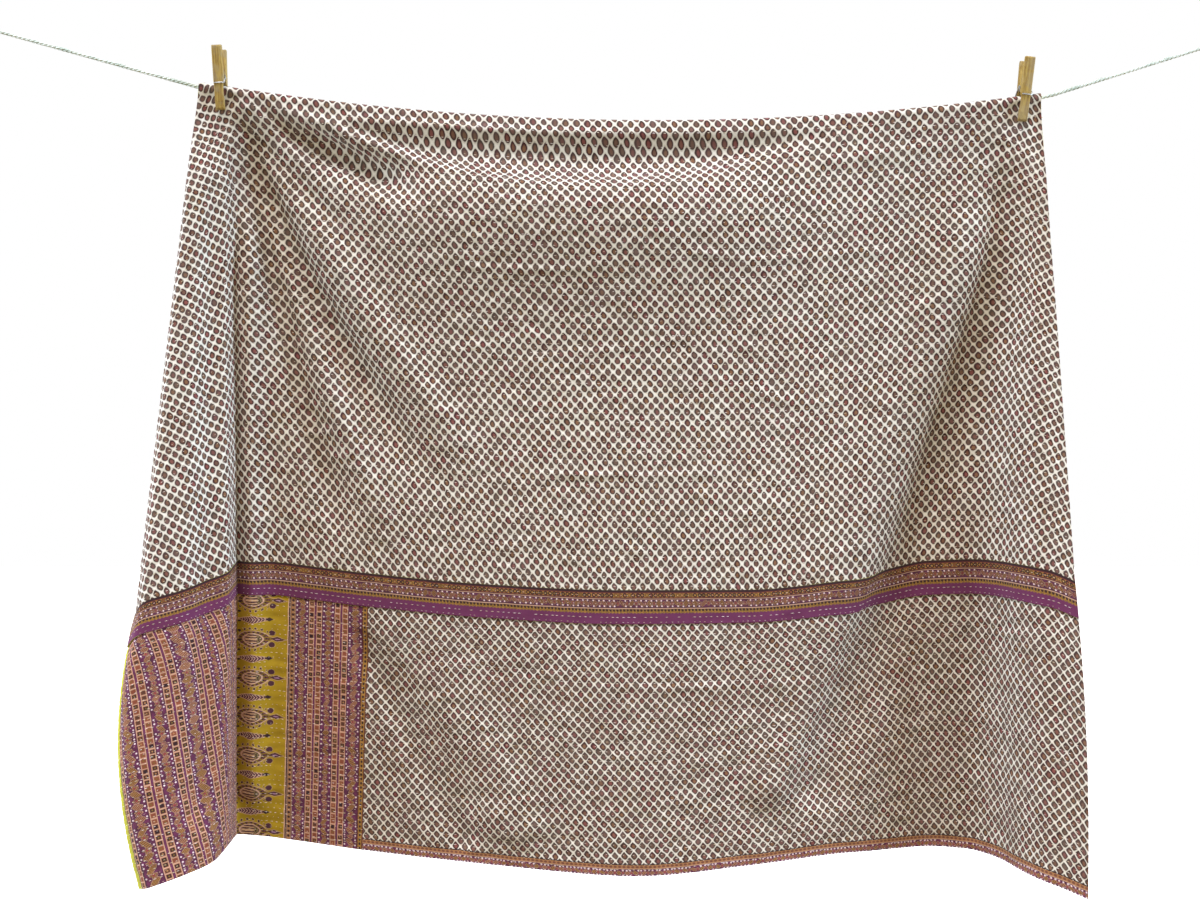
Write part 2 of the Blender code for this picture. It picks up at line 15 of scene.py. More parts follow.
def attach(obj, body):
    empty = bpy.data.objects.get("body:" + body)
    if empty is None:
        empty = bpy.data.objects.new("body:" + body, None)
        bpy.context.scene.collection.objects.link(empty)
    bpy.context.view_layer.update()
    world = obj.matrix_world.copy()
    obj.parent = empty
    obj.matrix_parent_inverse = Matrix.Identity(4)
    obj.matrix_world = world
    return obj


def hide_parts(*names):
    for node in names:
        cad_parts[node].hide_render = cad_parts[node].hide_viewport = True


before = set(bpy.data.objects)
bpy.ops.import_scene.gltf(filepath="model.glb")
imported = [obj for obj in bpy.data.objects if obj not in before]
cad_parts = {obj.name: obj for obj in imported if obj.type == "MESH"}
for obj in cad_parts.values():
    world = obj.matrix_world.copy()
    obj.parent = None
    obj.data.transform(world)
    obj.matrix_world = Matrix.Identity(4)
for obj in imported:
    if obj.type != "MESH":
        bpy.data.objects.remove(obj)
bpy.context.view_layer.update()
MM = 0.001
print("nodes:", ", ".join(sorted(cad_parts)))

# %% [markdown]
# ## Small helpers
# The sky, the materials and the Geometry Nodes trees are all made of nodes, so one function adds a node
# and links or sets its inputs. Another puts an object in its place, and a third says where a piece belongs.

# %% Helpers
def link(thing, spot=(0, 0, 0), look_at=None):
    """Links an object to the scene at a spot, turned to look at a point."""
    bpy.context.collection.objects.link(thing)
    thing.location = spot
    if look_at is not None:
        thing.rotation_euler = (Vector(look_at) - Vector(spot)).to_track_quat("-Z", "Y").to_euler()
    return thing


def plug(tree, node, inputs):
    """Links or sets some of a node's inputs."""
    for name, value in dict(inputs).items():
        value = getattr(value, "socket", value)
        if isinstance(value, bpy.types.NodeSocket):
            tree.links.new(value, node.inputs[name])
        else:
            node.inputs[name].default_value = value


def add_node(tree, kind, settings=(), inputs=()):
    """A new node of any kind: its settings first, then its inputs."""
    node = tree.nodes.new(kind)
    for name, value in dict(settings).items():
        setattr(node, name, value)
    plug(tree, node, inputs)
    return node


def belong(piece, node, slot_name):
    """Puts a piece under the root body and hides the node of the solid model whose place it takes."""
    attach(piece, "root")
    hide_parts(node)


def paint(red, green, blue):
    """A colour from its 0 to 255 values on a screen."""
    screen = [c / 255 for c in (red, green, blue)]
    return (*(((c + 0.055) / 1.055) ** 2.4 if c > 0.04045 else c / 12.92 for c in screen), 1.0)


print("helpers ready")

# %% [markdown]
# ## Camera, light and floor
# The camera stands level, a little over two metres in front of the quilt. A wide, soft sun from high up
# and two large, cool lamps show the folds without hard shadows, as on a bright, hazy day.

# %% Camera
VIEW_CENTRE_X, VIEW_CENTRE_Z, VIEW_DISTANCE = 0.92857, -0.61357, 2.1
SENSOR_WIDTH, LENS = 36.0, 44.1

middle_of_view = (VIEW_CENTRE_X, 0, VIEW_CENTRE_Z)
camera_data = bpy.data.cameras.new("camera")
camera_data.lens, camera_data.sensor_width = LENS, SENSOR_WIDTH
camera = link(bpy.data.objects.new("camera", camera_data),
              (VIEW_CENTRE_X, -VIEW_DISTANCE, VIEW_CENTRE_Z), middle_of_view)
bpy.context.scene.camera = camera
bpy.context.scene.view_settings.view_transform = "Standard"
print("camera at", [round(c, 3) for c in camera.location])

# %% Lights
LAMP_SIZE = 1.6
LAMPS = (
    # name      spot                watts  colour
    ("left",   (-2.6, -0.6, 0.3),   130,  (0.62, 0.78, 1.0)),
    ("right",  (4.4, -0.6, 0.3),    245,  (0.62, 0.78, 1.0)),
    ("behind", (0.9, 2.4, 1.4),      14,  (1.0, 1.0, 1.0)),
)
SUN_FROM, SUN_STRENGTH, SUN_SPREAD, SUN_COLOUR = (-0.5, -1.0, 2.6), 3.45, radians(24), (0.95, 0.93, 1.0)

for name, spot, watts, colour in LAMPS:
    lamp = bpy.data.lights.new(name, "AREA")
    lamp.size, lamp.energy, lamp.color = LAMP_SIZE, watts, colour
    link(bpy.data.objects.new(name, lamp), spot, middle_of_view)
sun = bpy.data.lights.new("sun", "SUN")
sun.energy, sun.angle, sun.color = SUN_STRENGTH, SUN_SPREAD, SUN_COLOUR
link(bpy.data.objects.new("sun", sun), SUN_FROM, (0, 0, 0))
print(len(LAMPS), "lamps and a sun")

# %% Sky
GROUND_LIGHT, SKY_LIGHT, WHITE = (0.40, 0.33, 0.18, 1), (0.90, 0.90, 0.88, 1), (1, 1, 1, 1)

world = bpy.data.worlds.new("sky")
bpy.context.scene.world = world
world.use_nodes = True
sky = world.node_tree
way = add_node(sky, "ShaderNodeTexCoord").outputs["Generated"]
height = add_node(sky, "ShaderNodeSeparateXYZ", (), {0: way}).outputs["Z"]
high = add_node(sky, "ShaderNodeMapRange", (),
                {"Value": height, "From Min": -0.1, "From Max": 0.9}).outputs[0]
light = add_node(sky, "ShaderNodeMixRGB", (), {0: high, 1: GROUND_LIGHT, 2: SKY_LIGHT}).outputs[0]
seen = add_node(sky, "ShaderNodeLightPath").outputs["Is Camera Ray"]
shown = add_node(sky, "ShaderNodeMixRGB", (), {0: seen, 1: light, 2: WHITE}).outputs[0]
plug(sky, sky.nodes["Background"], {"Color": shown})
print("sky has", len(sky.nodes), "nodes")

# %% Floor
FLOOR_Z, FLOOR_HALF, FLOOR_GLOW = -1.9, 14.0, 0.3

floor_mesh = bpy.data.meshes.new("floor")
floor_corners = [(x * FLOOR_HALF, y * FLOOR_HALF, FLOOR_Z) for x, y in ((-1, -1), (1, -1), (1, 1), (-1, 1))]
floor_mesh.from_pydata(floor_corners, [], [(0, 1, 2, 3)])
floor = link(bpy.data.objects.new("floor", floor_mesh))
floor.visible_diffuse = False          # so that it does not throw light up into the folds
print("floor at", FLOOR_Z)

# %% [markdown]
# ## Writing maths as algebra
# A printed pattern is a lot of arithmetic on the place of a point in the cloth. `Value` wraps one socket
# of a node tree and gives it the usual operators, so a pattern can be written as a formula. `Finish` is one
# material with its Principled shader.

# %% A small algebra for nodes
class Value:
    """One output of a node, with the usual operators."""

    def __init__(self, nodes, socket):
        self.nodes, self.socket = nodes, socket

    def __radd__(self, other): return self.nodes.maths("ADD", other, self)
    def __rsub__(self, other): return self.nodes.maths("SUBTRACT", other, self)
    def __rmul__(self, other): return self.nodes.maths("MULTIPLY", other, self)
    def __rtruediv__(self, other): return self.nodes.maths("DIVIDE", other, self)

    def rise(self, low, high):
        """0 below low, 1 above high, and a soft step between."""
        return self.nodes.out("ShaderNodeMapRange", {"interpolation_type": "SMOOTHSTEP"},
                              {"Value": self, "From Min": low, "From Max": high})

    def past(self, line, soft):
        """0 below a line and 1 above it, with a soft edge."""
        return self.rise(line - soft, line + soft)

    def inside(self, low, high, soft):
        """1 between low and high, 0 outside, with soft edges."""
        return self.past(low, soft) * (1 - self.past(high, soft))


for method, operation in {
        "__add__": "ADD", "__sub__": "SUBTRACT", "__mul__": "MULTIPLY", "__truediv__": "DIVIDE",
        "__pow__": "POWER", "__mod__": "FLOORED_MODULO", "__abs__": "ABSOLUTE", "__lt__": "LESS_THAN",
        "__gt__": "GREATER_THAN", "equals": "COMPARE", "least": "MINIMUM", "most": "MAXIMUM",
        "floor": "FLOOR", "root": "SQRT", "sine": "SINE", "cosine": "COSINE", "angle": "ARCTAN2"}.items():
    setattr(Value, method, lambda self, *terms, done=operation: self.nodes.maths(done, self, *terms))
print("algebra ready")

# %% Adding nodes, and a material
class Nodes:
    """A node tree that is built output by output."""

    def out(self, kind, settings=(), inputs=(), output=0):
        """One output of a new node as a Value, or a list where output names several."""
        outputs = add_node(self.tree, kind, settings, inputs).outputs
        if isinstance(output, tuple):
            return [Value(self, outputs[which]) for which in output]
        return Value(self, outputs[output])

    def maths(self, operation, *terms):
        return self.out("ShaderNodeMath", {"operation": operation}, dict(enumerate(terms)))

    def point(self, x, y, z=0.0):
        return self.out("ShaderNodeCombineXYZ", (), {0: x, 1: y, 2: z})


class Finish(Nodes):
    """A Principled material."""

    def __init__(self, name, roughness=0.9, metallic=0.0, specular=0.5, sheen=0.0):
        self.material = bpy.data.materials.new(name)
        self.material.use_nodes = True
        self.tree = self.material.node_tree
        self.set({"Roughness": roughness, "Metallic": metallic, "Specular IOR Level": specular,
                  "Sheen Weight": sheen})

    def set(self, inputs):
        """Links or sets some of the shader's inputs."""
        plug(self.tree, self.tree.nodes["Principled BSDF"], inputs)

    def mix(self, share, first, second):
        """first where share is 0 and second where it is 1."""
        return self.out("ShaderNodeMix", {"data_type": "RGBA"}, {0: share, 6: first, 7: second}, 2)

    def cover(self, colour, *layers):
        """Lays colours over another one, each with the share that it covers."""
        for share, over in layers:
            colour = self.mix(share, colour, over)
        return colour

    def noise(self, where, scale, detail=2.0, roughness=0.5):
        """Smooth noise round one half."""
        return self.out("ShaderNodeTexNoise", (), {"Vector": where, "Scale": scale, "Detail": detail,
                                                   "Roughness": roughness})

    def wander(self, x, y, scale, detail=2.0, z=0.0):
        """Smooth noise round zero on a flat place."""
        return self.noise(self.point(x, y, z), scale, detail) - 0.5

    def chance(self, x, y, seed=0.0):
        """Three random numbers for each whole x and y."""
        colour = self.out("ShaderNodeTexWhiteNoise", (), {"Vector": self.point(x, y, seed)}, "Color")
        return self.out("ShaderNodeSeparateColor", (), {0: colour}, (0, 1, 2))

    def cloth_place(self, name):
        """The two numbers of a UV map, in millimetres."""
        spot = self.out("ShaderNodeUVMap", {"uv_map": name})
        across, down = self.out("ShaderNodeSeparateXYZ", (), {0: spot}, (0, 1))
        return across * 1000, down * 1000

    def place(self):
        """Object coordinates."""
        return self.out("ShaderNodeTexCoord", output="Object")

    def finish(self, colour, height, depth, strength=1.0, **others):
        """Sets what changes over the surface, with height as a bump that is depth metres high."""
        bump = self.out("ShaderNodeBump", (), {"Strength": strength, "Distance": depth, "Height": height})
        self.set({"Base Color": colour, "Normal": bump, **others})
        return self.material


print("materials can be made")

# %% Floor finish
floor_finish = Finish("floor", roughness=0.8)
floor_finish.set({"Base Color": paint(250, 250, 250), "Emission Color": WHITE,
                  "Emission Strength": FLOOR_GLOW})
floor_mesh.materials.append(floor_finish.material)
print("floor painted")

# %% [markdown]
# ## Growing things along paths
# Whatever repeats along a path, such as the strands of a rope or thousands of stitches, is made by a
# Geometry Nodes tree. `Tree` makes one with named inputs, and adds its nodes as a material does. `grow`
# runs a tree once on a mesh of paths and keeps the result as a plain mesh.

# %% A tree with named inputs
class Tree(Nodes):
    """A Geometry Nodes tree with named inputs, each with its first value."""

    def __init__(self, name, inputs):
        self.tree = bpy.data.node_groups.new(name, "GeometryNodeTree")
        socket = self.tree.interface.new_socket
        socket("Geometry", in_out="INPUT", socket_type="NodeSocketGeometry")
        for label, value in inputs.items():
            kind = "NodeSocketInt" if isinstance(value, int) else "NodeSocketFloat"
            socket(label, in_out="INPUT", socket_type=kind).default_value = value
        socket("Material", in_out="INPUT", socket_type="NodeSocketMaterial")
        socket("Geometry", in_out="OUTPUT", socket_type="NodeSocketGeometry")
        self.inputs = self.tree.nodes.new("NodeGroupInput").outputs
        self.paths = self.out("GeometryNodeMeshToCurve", (), {0: self.given("Geometry")})

    def given(self, label):
        return Value(self, self.inputs[label])

    def vectors(self, operation, first, second=(0, 0, 0)):
        other = "Scale" if operation == "SCALE" else 1
        return self.out("ShaderNodeVectorMath", {"operation": operation}, {0: first, other: second})

    def every(self, step, path):
        """A path with a point at every step of its length."""
        return self.out("GeometryNodeResampleCurve", {"mode": "LENGTH"}, {"Curve": path, "Length": step})

    def tube(self, path, radius, sides):
        ring = self.out("GeometryNodeCurvePrimitiveCircle", (), {"Resolution": sides, "Radius": radius})
        return self.out("GeometryNodeCurveToMesh", (),
                        {"Curve": path, "Profile Curve": ring, "Fill Caps": True})

    def end(self, geometry):
        """Realizes, smooths, paints and sends out, and returns the tree."""
        geometry = self.out("GeometryNodeRealizeInstances", (), {"Geometry": geometry})
        geometry = self.out("GeometryNodeSetShadeSmooth", (), {"Geometry": geometry})
        geometry = self.out("GeometryNodeSetMaterial", (),
                            {"Geometry": geometry, "Material": self.given("Material")})
        add_node(self.tree, "NodeGroupOutput", (), {0: geometry})
        print(self.tree.name, "has", len(self.tree.nodes), "nodes")
        return self


print("trees can be made")

# %% Paths and growing
def path_mesh(name, rows, closed=False, **attributes):
    """A mesh of edges only, through rows of points in millimetres, with attributes on its points."""
    points, edges = [], []
    for row in rows:
        first = len(points)
        points += [tuple(MM * c for c in point) for point in row]
        edges += [(i, i + 1) for i in range(first, len(points) - 1)]
        if closed:
            edges.append((len(points) - 1, first))
    mesh = bpy.data.meshes.new(name)
    mesh.from_pydata(points, edges, [])
    for label, values in attributes.items():
        layer = mesh.attributes.new(label, "FLOAT", "POINT")
        layer.data.foreach_set("value", np.asarray(values, np.float32))
    return mesh


def grow(name, tree, paths, **values):
    """Runs a tree on a mesh of paths and returns the result as an object with a plain mesh."""
    source = link(bpy.data.objects.new(name, paths))
    modifier = source.modifiers.new("Grow", "NODES")
    modifier.node_group = tree.tree
    for item in tree.tree.interface.items_tree:
        label = item.name.replace(" ", "_").lower()
        if item.in_out == "INPUT" and label in values:
            modifier[item.identifier] = values[label]
    depsgraph = bpy.context.evaluated_depsgraph_get()
    mesh = bpy.data.meshes.new_from_object(source.evaluated_get(depsgraph))
    source.modifiers.remove(modifier)
    source.data = mesh
    print(name, len(mesh.polygons), "faces")
    return source


print("ready to grow")

# %% [markdown]
# ## The line
# The line is laid rope: three strands wound round each other. It hangs from an eye at each end, and the
# quilt's weight pulls it into a shallow curve. Each strand is a round tube that winds round the line's
# path, so the rope's ridges are real.

# %% The line's path, as in the solid model (millimetres, drops measured down from the origin)
SPAN, EYE_INSET, RIGHT_EYE_DROP = 1857, 14, 22
LINE_DIAMETER, LINE_SAG, LINE_POINTS = 5.5, 46, 48
QUILT_LEFT, QUILT_RIGHT = 357, 1557
LINE_DROP_LEFT, LINE_DROP_RIGHT = 96, 112
BINDING_START, BINDING_END, GAP = 30, 46, 0.3


def line_drop(x):
    """The line's middle, below the origin."""
    x = np.asarray(x, float)
    share = np.clip((x - QUILT_LEFT) / (QUILT_RIGHT - QUILT_LEFT), 0, 1)
    loaded = (LINE_DROP_LEFT + (LINE_DROP_RIGHT - LINE_DROP_LEFT) * share
              + LINE_SAG * 4 * share * (1 - share))
    to_left = np.clip((QUILT_LEFT - x) / (QUILT_LEFT - EYE_INSET), 0, None)
    to_right = np.clip((x - QUILT_RIGHT) / (SPAN - EYE_INSET - QUILT_RIGHT), 0, None)
    return loaded - to_left * LINE_DROP_LEFT - to_right * (LINE_DROP_RIGHT - RIGHT_EYE_DROP)


def end_frame(side):
    """The middle of an eye, and the direction in which the line leaves it."""
    if side == "left":
        eye, foot = Vector((EYE_INSET, 0, 0)), Vector((QUILT_LEFT, 0, -LINE_DROP_LEFT))
    else:
        eye = Vector((SPAN - EYE_INSET, 0, -RIGHT_EYE_DROP))
        foot = Vector((QUILT_RIGHT, 0, -LINE_DROP_RIGHT))
    return eye, (foot - eye).normalized()


line_ends = [eye + way * (BINDING_END + GAP) for eye, way in map(end_frame, ("left", "right"))]
line_x = np.linspace(line_ends[0].x, line_ends[1].x, LINE_POINTS)
line_path = np.stack([line_x, 0 * line_x, -line_drop(line_x)], axis=1)

# %% A tree that lays a rope along a path
ROPE_LAY = 0.019                # metres along the rope for one turn of a strand
STRAND_OFFSET, STRAND_RADIUS = 0.26, 0.25       # shares of the rope's diameter
NEARLY_UP = (0.0, 0.31, 0.95)   # never along a path, so that it can be squared against every tangent


def rope_tree():
    tree = Tree("laid_rope", {"Diameter": 0.0055, "Lay": ROPE_LAY, "Strands": 3, "Step": 0.0016})
    count, diameter = tree.given("Strands"), tree.given("Diameter")
    path = tree.every(tree.given("Step"), tree.paths)
    strands, which = tree.out("GeometryNodeDuplicateElements", {"domain": "SPLINE"},
                              {"Geometry": path, "Amount": count}, (0, 1))
    along = tree.out("GeometryNodeSplineParameter", output="Length")
    angle = (along / tree.given("Lay") + which / count) * (2 * pi)
    tangent = tree.out("GeometryNodeInputTangent")
    flat = tree.vectors("NORMALIZE", tree.vectors("CROSS_PRODUCT", tangent, NEARLY_UP))
    high = tree.vectors("CROSS_PRODUCT", flat, tangent)
    radius = diameter * STRAND_OFFSET
    offset = tree.vectors("ADD", tree.vectors("SCALE", flat, angle.cosine() * radius),
                          tree.vectors("SCALE", high, angle.sine() * radius))
    wound = tree.out("GeometryNodeSetPosition", (), {"Geometry": strands, "Offset": offset})
    return tree.end(tree.tube(wound, diameter * STRAND_RADIUS, 7))


laid_rope = rope_tree()

# %% [markdown]
# The rope's finish is a pale, matt synthetic: fine yarns run across the strands, and there are greyer
# clouds where dirt and damp have stayed.

# %% Rope finish and the line
def rope_finish(name, dark):
    finish = Finish(name, roughness=0.85, sheen=0.15)
    where = finish.place()
    yarn = finish.noise(where, 900, 3)
    stain = finish.noise(where, 26, 3).rise(0.38, 0.66)
    pale = finish.mix(yarn, paint(214, 222, 214), paint(240, 243, 236))
    return finish.finish(finish.mix(stain * 0.7, pale, dark), yarn, 0.0004)


rope_paint = rope_finish("rope_yarn", paint(150, 166, 150))
line = grow("line_rope", laid_rope, path_mesh("line_path", [line_path]), diameter=LINE_DIAMETER * MM,
            material=rope_paint)
belong(line, "line", "rope")


# %% [markdown]
# ## How the cloth hangs
# The cloth is described in upright sections from its left edge to its right edge. Each section says where
# it leaves the line, where it passes the top of the printed band and where it ends at the hem. Smooth
# curves join them, and listed creases press soft troughs and ridges into the result. These are the
# solid model's own sections and creases, so the fine cloth lies on its folds.

# %% Sections and creases (millimetres)
CLOTH, OVER_LINE, TURN_FADE, FOLD_FADE = 2.5, 6.8, 70, 22
SHOULDER, SHOULDER_SLOPE, BAND_HEIGHT = 0.22, 0.9, 0.116
BACK_DROP, BACK_LEAN, BACK_SWING, BACK_FLARE = 1040, 84, 0.62, 46
SECTION_COLUMNS = ("line_x", "shoulder_y", "band_x", "band_drop", "band_y", "bow", "hem_x", "hem_drop",
                   "hem_y", "print_start")
SECTIONS = (
    (357,  -20,  285, 844, -62, -26,  301, 1212,  -95, -44),  # left edge
    (361,  -26,  303, 824, -76, -24,  321, 1205, -112, -42),  # left roll
    (369,  -24,  347, 810, -66, -14,  365, 1192,  -95, -33),  # flap middle
    (379,  -16,  385, 796, -40,  -4,  393, 1183,  -62, -22),  # flap inner
    (393,   -6,  402, 786, -18,   0,  402, 1172,  -20, -10),  # fold lip
    (409,   12,  403, 775,  22,   0,  401, 1171,   32,   0),  # fold valley
    (446,   12,  448, 776,  28,   0,  448, 1176,   40,   0),  # left hollow
    (557,    4,  591, 792,  18,   0,  590, 1192,   26,   0),  # panel end
    (721,   -4,  757, 806,   0,   0,  764, 1204,   -2,   0),  # left centre
    (957,   -8,  957, 814, -12,   0,  978, 1216,  -22,   0),  # centre
    (1143,  -6, 1135, 814,  -6,   0, 1135, 1204,  -12,   0),  # right centre
    (1286,   2, 1288, 799,  14,   0, 1288, 1192,   14,   4),  # right slope
    (1400,  10, 1410, 777,  44,   0, 1403, 1192,   48,  10),  # right hollow
    (1460,  12, 1472, 774,  46,   0, 1463, 1197,   54,   4),  # fold foot
    (1500,   6, 1505, 775,  18,   0, 1503, 1200,   12,  -8),  # fold face
    (1521,  -4, 1523, 777, -14,   0, 1519, 1204,  -28, -18),  # fold crest
    (1540, -14, 1555, 783, -45,   3, 1554, 1212,  -78, -32),  # right flap
    (1557, -16, 1591, 798, -50,   7, 1596, 1228,  -90, -44),  # right edge
)
CENTRE_SECTION, FOLD_LIP, FOLD_VALLEY = 9, 4, 5
FRONT_CREASES = (
    # start x and drop, via, end, rise, reach above and below, fade in and out
    (479,  116,  871,  361, 1400,  131,  34, 46, 150,  0.4, 0.45),  # swag under the line
    (423,  119,  543,  208,  686,  242, -13, 20,  23,  0.3,  0.3),  # tuck below it
    (423,  154,  500,  442,  736,  714, -11, 23,  29,  0.2,  0.3),  # long valley
    (500,  242,  593,  456,  786,  671,   6, 23,  31,  0.3,  0.3),  # ridge beside it
    (411,  185,  486,  471,  579,  771,  -8, 26,  23,  0.2,  0.2),  # side valley
    (486,  442,  564,  599,  643,  771,   5, 20,  23,  0.3,  0.3),  # ridge beside it
    (1526, 149, 1443,  571, 1164, 1164, -15, 43,  34, 0.15,  0.2),  # right valley
    (1500, 171, 1357,  571, 1143, 1028,   9, 57,  49,  0.2,  0.3),  # ridge beside it
    (621,  878,  679,  999,  774, 1149,  -8, 29,  26, 0.25, 0.15),  # low valley
    (671,  899,  743, 1028,  843, 1185,   6, 37,  37, 0.25,  0.1),  # ridge beside it
)
BACK_CREASES = (
    (440,  150,  430, 600,  400, 1150, 18, 40, 40, 0.3, 1),
    (700,  200,  690, 700,  640, 1150, 10, 60, 60, 0.4, 1),
    (960,  190, 1000, 700, 1010, 1160, 13, 70, 70, 0.4, 1),
    (1290, 200, 1270, 700, 1290, 1160, 10, 60, 60, 0.4, 1),
    (1480, 160, 1500, 600, 1520, 1150, 17, 40, 40, 0.3, 1),
)
PATH_STEPS = 20
PEGS = (("left", 387, 28, -2.5), ("right", 1533, 30, 6.0))      # name, x, bite, lean
PINCH_HALF_WIDTH, PINCH_FADE, PINCHED_DEPTH = 15, 28, 1.6
PINCH_TOP, PINCH_HOLD, PINCH_OPENING = 9, 8, 90
print(len(SECTIONS), "sections and", len(FRONT_CREASES) + len(BACK_CREASES), "creases")

# %% Smooth curves through the sections
def cubic(start, end, start_slope, end_slope, t):
    return ((1 + 2 * t) * (1 - t) ** 2 * start + t * (1 - t) ** 2 * start_slope
            + t * t * (3 - 2 * t) * end + t * t * (t - 1) * end_slope)


def smooth_through(values, places):
    """A smooth curve through evenly numbered values that never swings past them."""
    values = np.asarray(values, float)
    rises = np.diff(values)
    slopes = np.zeros(len(values))
    slopes[0], slopes[-1] = rises[0], rises[-1]
    same_way = rises[:-1] * rises[1:] > 0
    pairs = np.where(same_way, rises[:-1] + rises[1:], 1.0)
    slopes[1:-1] = np.where(same_way, 2 * rises[:-1] * rises[1:] / pairs, 0.0)
    places = np.clip(np.asarray(places, float), 0, len(values) - 1)
    first = np.minimum(places.astype(int), len(values) - 2)
    return cubic(values[first], values[first + 1], slopes[first], slopes[first + 1], places - first)


def along(name, section):
    """One named column of the table at places between its sections."""
    return smooth_through([row[SECTION_COLUMNS.index(name)] for row in SECTIONS], section)


print("hem from", along("hem_x", 0), "to", along("hem_x", len(SECTIONS) - 1))

# %% Creases and pinches
def ease(t):
    t = np.clip(t, 0, 1)
    return t * t * (3 - 2 * t)


def crease_rise(x, drop, crease):
    """How far one crease lifts the cloth at each place."""
    *path, rise, above, below, fade_in, fade_out = crease
    steps = np.linspace(0, 1, PATH_STEPS + 1)
    path_x, path_z = ((1 - steps) ** 2 * start + 2 * steps * (1 - steps) * via + steps ** 2 * end
                      for start, via, end in (path[::2], path[1::2]))
    nearest, side, far = np.full(x.shape, 1e9), np.zeros(x.shape), np.zeros(x.shape)
    for i in range(PATH_STEPS):
        run_x, run_z = path_x[i + 1] - path_x[i], path_z[i + 1] - path_z[i]
        off_x, off_z = x - path_x[i], drop - path_z[i]
        t = np.clip((off_x * run_x + off_z * run_z) / (run_x ** 2 + run_z ** 2), 0, 1)
        distance = np.hypot(off_x - t * run_x, off_z - t * run_z)
        closer = distance < nearest
        nearest = np.where(closer, distance, nearest)
        side = np.where(closer, run_x * off_z - run_z * off_x, side)
        far = np.where(closer, (i + t) / PATH_STEPS, far)
    start = ease(far / fade_in)
    end = ease((1 - far) / fade_out) if fade_out < 1 else 1.0
    return rise * start * end * np.exp(-(nearest / np.where(side > 0, below, above)) ** 2)


def folds(x, drop, below, creases):
    """How far all creases lift the cloth, which lies smooth where it leaves the line."""
    return sum(crease_rise(x, drop, crease) for crease in creases) * (1 - np.exp(-(below / FOLD_FADE) ** 2))


def pinch(x, below, depth, pressed):
    """Presses the cloth to the depth pressed between the jaws of each peg."""
    for _, peg_x, bite, _ in PEGS:
        beside = 1 - ease((np.abs(x - peg_x) - PINCH_HALF_WIDTH) / PINCH_FADE)
        height = np.clip(below / PINCH_TOP, 0, 1) * (1 - ease((below - bite - PINCH_HOLD) / PINCH_OPENING))
        depth = depth * (1 - beside * height) + pressed * beside * height
    return depth


print("creases and pinches ready")

# %% Front, back and the turn over the line
def front_cloth(section, level):
    """Points of the front. level is 0 at the line, 1 at the band's top and 2 at the hem."""
    line_x, shoulder_y, band_x, band_drop, band_y, bow, hem_x, hem_drop, hem_y = (
        along(name, section) for name in SECTION_COLUMNS[:-1])
    upper, lower = np.clip(level, 0, 1), np.clip(level - 1, 0, 1)
    top = line_drop(line_x)
    x = line_x + (band_x - line_x) * upper + (hem_x - band_x) * lower + bow * 4 * lower * (1 - lower)
    drop = top + (band_drop - top) * upper + (hem_drop - band_drop) * lower
    rest = 1 - SHOULDER
    shoulder_slope = SHOULDER_SLOPE * band_y
    band_slope = ((band_y - shoulder_y) / rest + hem_y - band_y) / 2
    shoulder = cubic(0, shoulder_y, shoulder_y, shoulder_slope * SHOULDER, np.clip(level / SHOULDER, 0, 1))
    body = cubic(shoulder_y, band_y, shoulder_slope * rest, band_slope * rest,
                 np.clip((level - SHOULDER) / rest, 0, 1))
    skirt = cubic(band_y, hem_y, band_slope, hem_y - band_y, lower)
    depth = np.where(level < SHOULDER, shoulder, np.where(level < 1, body, skirt))
    below = drop - top
    depth = depth - OVER_LINE * np.exp(-below / TURN_FADE) - folds(x, drop, below, FRONT_CREASES)
    return np.stack([x, pinch(x, below, depth, -PINCHED_DEPTH), -drop], axis=-1)


def back_cloth(section, level):
    """Points of the back. level is 0 at the line and 1 at the hem."""
    line_x = along("line_x", section)
    share = (line_x - QUILT_LEFT) / (QUILT_RIGHT - QUILT_LEFT)
    top, below = line_drop(line_x), BACK_DROP * level
    x = line_x + BACK_FLARE * (2 * share - 1) * level
    depth = (OVER_LINE * np.exp(-below / TURN_FADE) + BACK_LEAN * level ** BACK_SWING
             + folds(x, top + below, below, BACK_CREASES))
    return np.stack([x, pinch(x, below, depth, PINCHED_DEPTH), -top - below], axis=-1)


def turn_over_line(section, angle):
    """Points of the cloth over the line. angle is 0 at the back and pi at the front."""
    line_x = along("line_x", section)
    return np.stack([line_x, OVER_LINE * np.cos(angle) + 0 * line_x,
                     OVER_LINE * np.sin(angle) - line_drop(line_x)], axis=-1)


def outward(points):
    """Directions square to the cloth, towards its printed face."""
    square = np.cross(np.gradient(points, axis=0), np.gradient(points, axis=1))
    return square / np.linalg.norm(square, axis=2, keepdims=True)


print("centre of the hem at", front_cloth(np.array([CENTRE_SECTION]), np.array([2])).round(1).tolist())

# %% [markdown]
# ## Rows that follow the stitching
# Kantha is quilted by hand in straight rows of running stitch. Each row pulls the layers together, so the
# cloth swells slightly between rows. Every fourth row of points lies in a stitched furrow. The places in
# the cloth, `across` and `down`, are what the printed pattern and the stitches follow later.

# %% Places in the cloth
ROW_STEP, STITCH_ROWS = 3.5, 4  # millimetres between rows of points, and rows of points to one of stitches
RIDGE = 0.36                    # how far the cloth swells and sinks
BAND_DOWN, HEM_DOWN = 679.0, 1087.0             # measured down the cloth from the line
NECK_STEPS = 12                 # rows nearest the line, which fan out to meet the slanted corners
ACROSS_COLUMNS, BACK_COLUMNS, FINE_SECTIONS = 425, 301, 3000
GATHER, GATHER_POWER = 0.15, 1.3                # how much wider the cloth is at the band than its print
UPPER_LEAN, LOWER_LEAN = tan(radians(4.5)), tan(radians(-1.0))
TURN_STEPS = 5                  # rows of points from the top of the line to its front or back


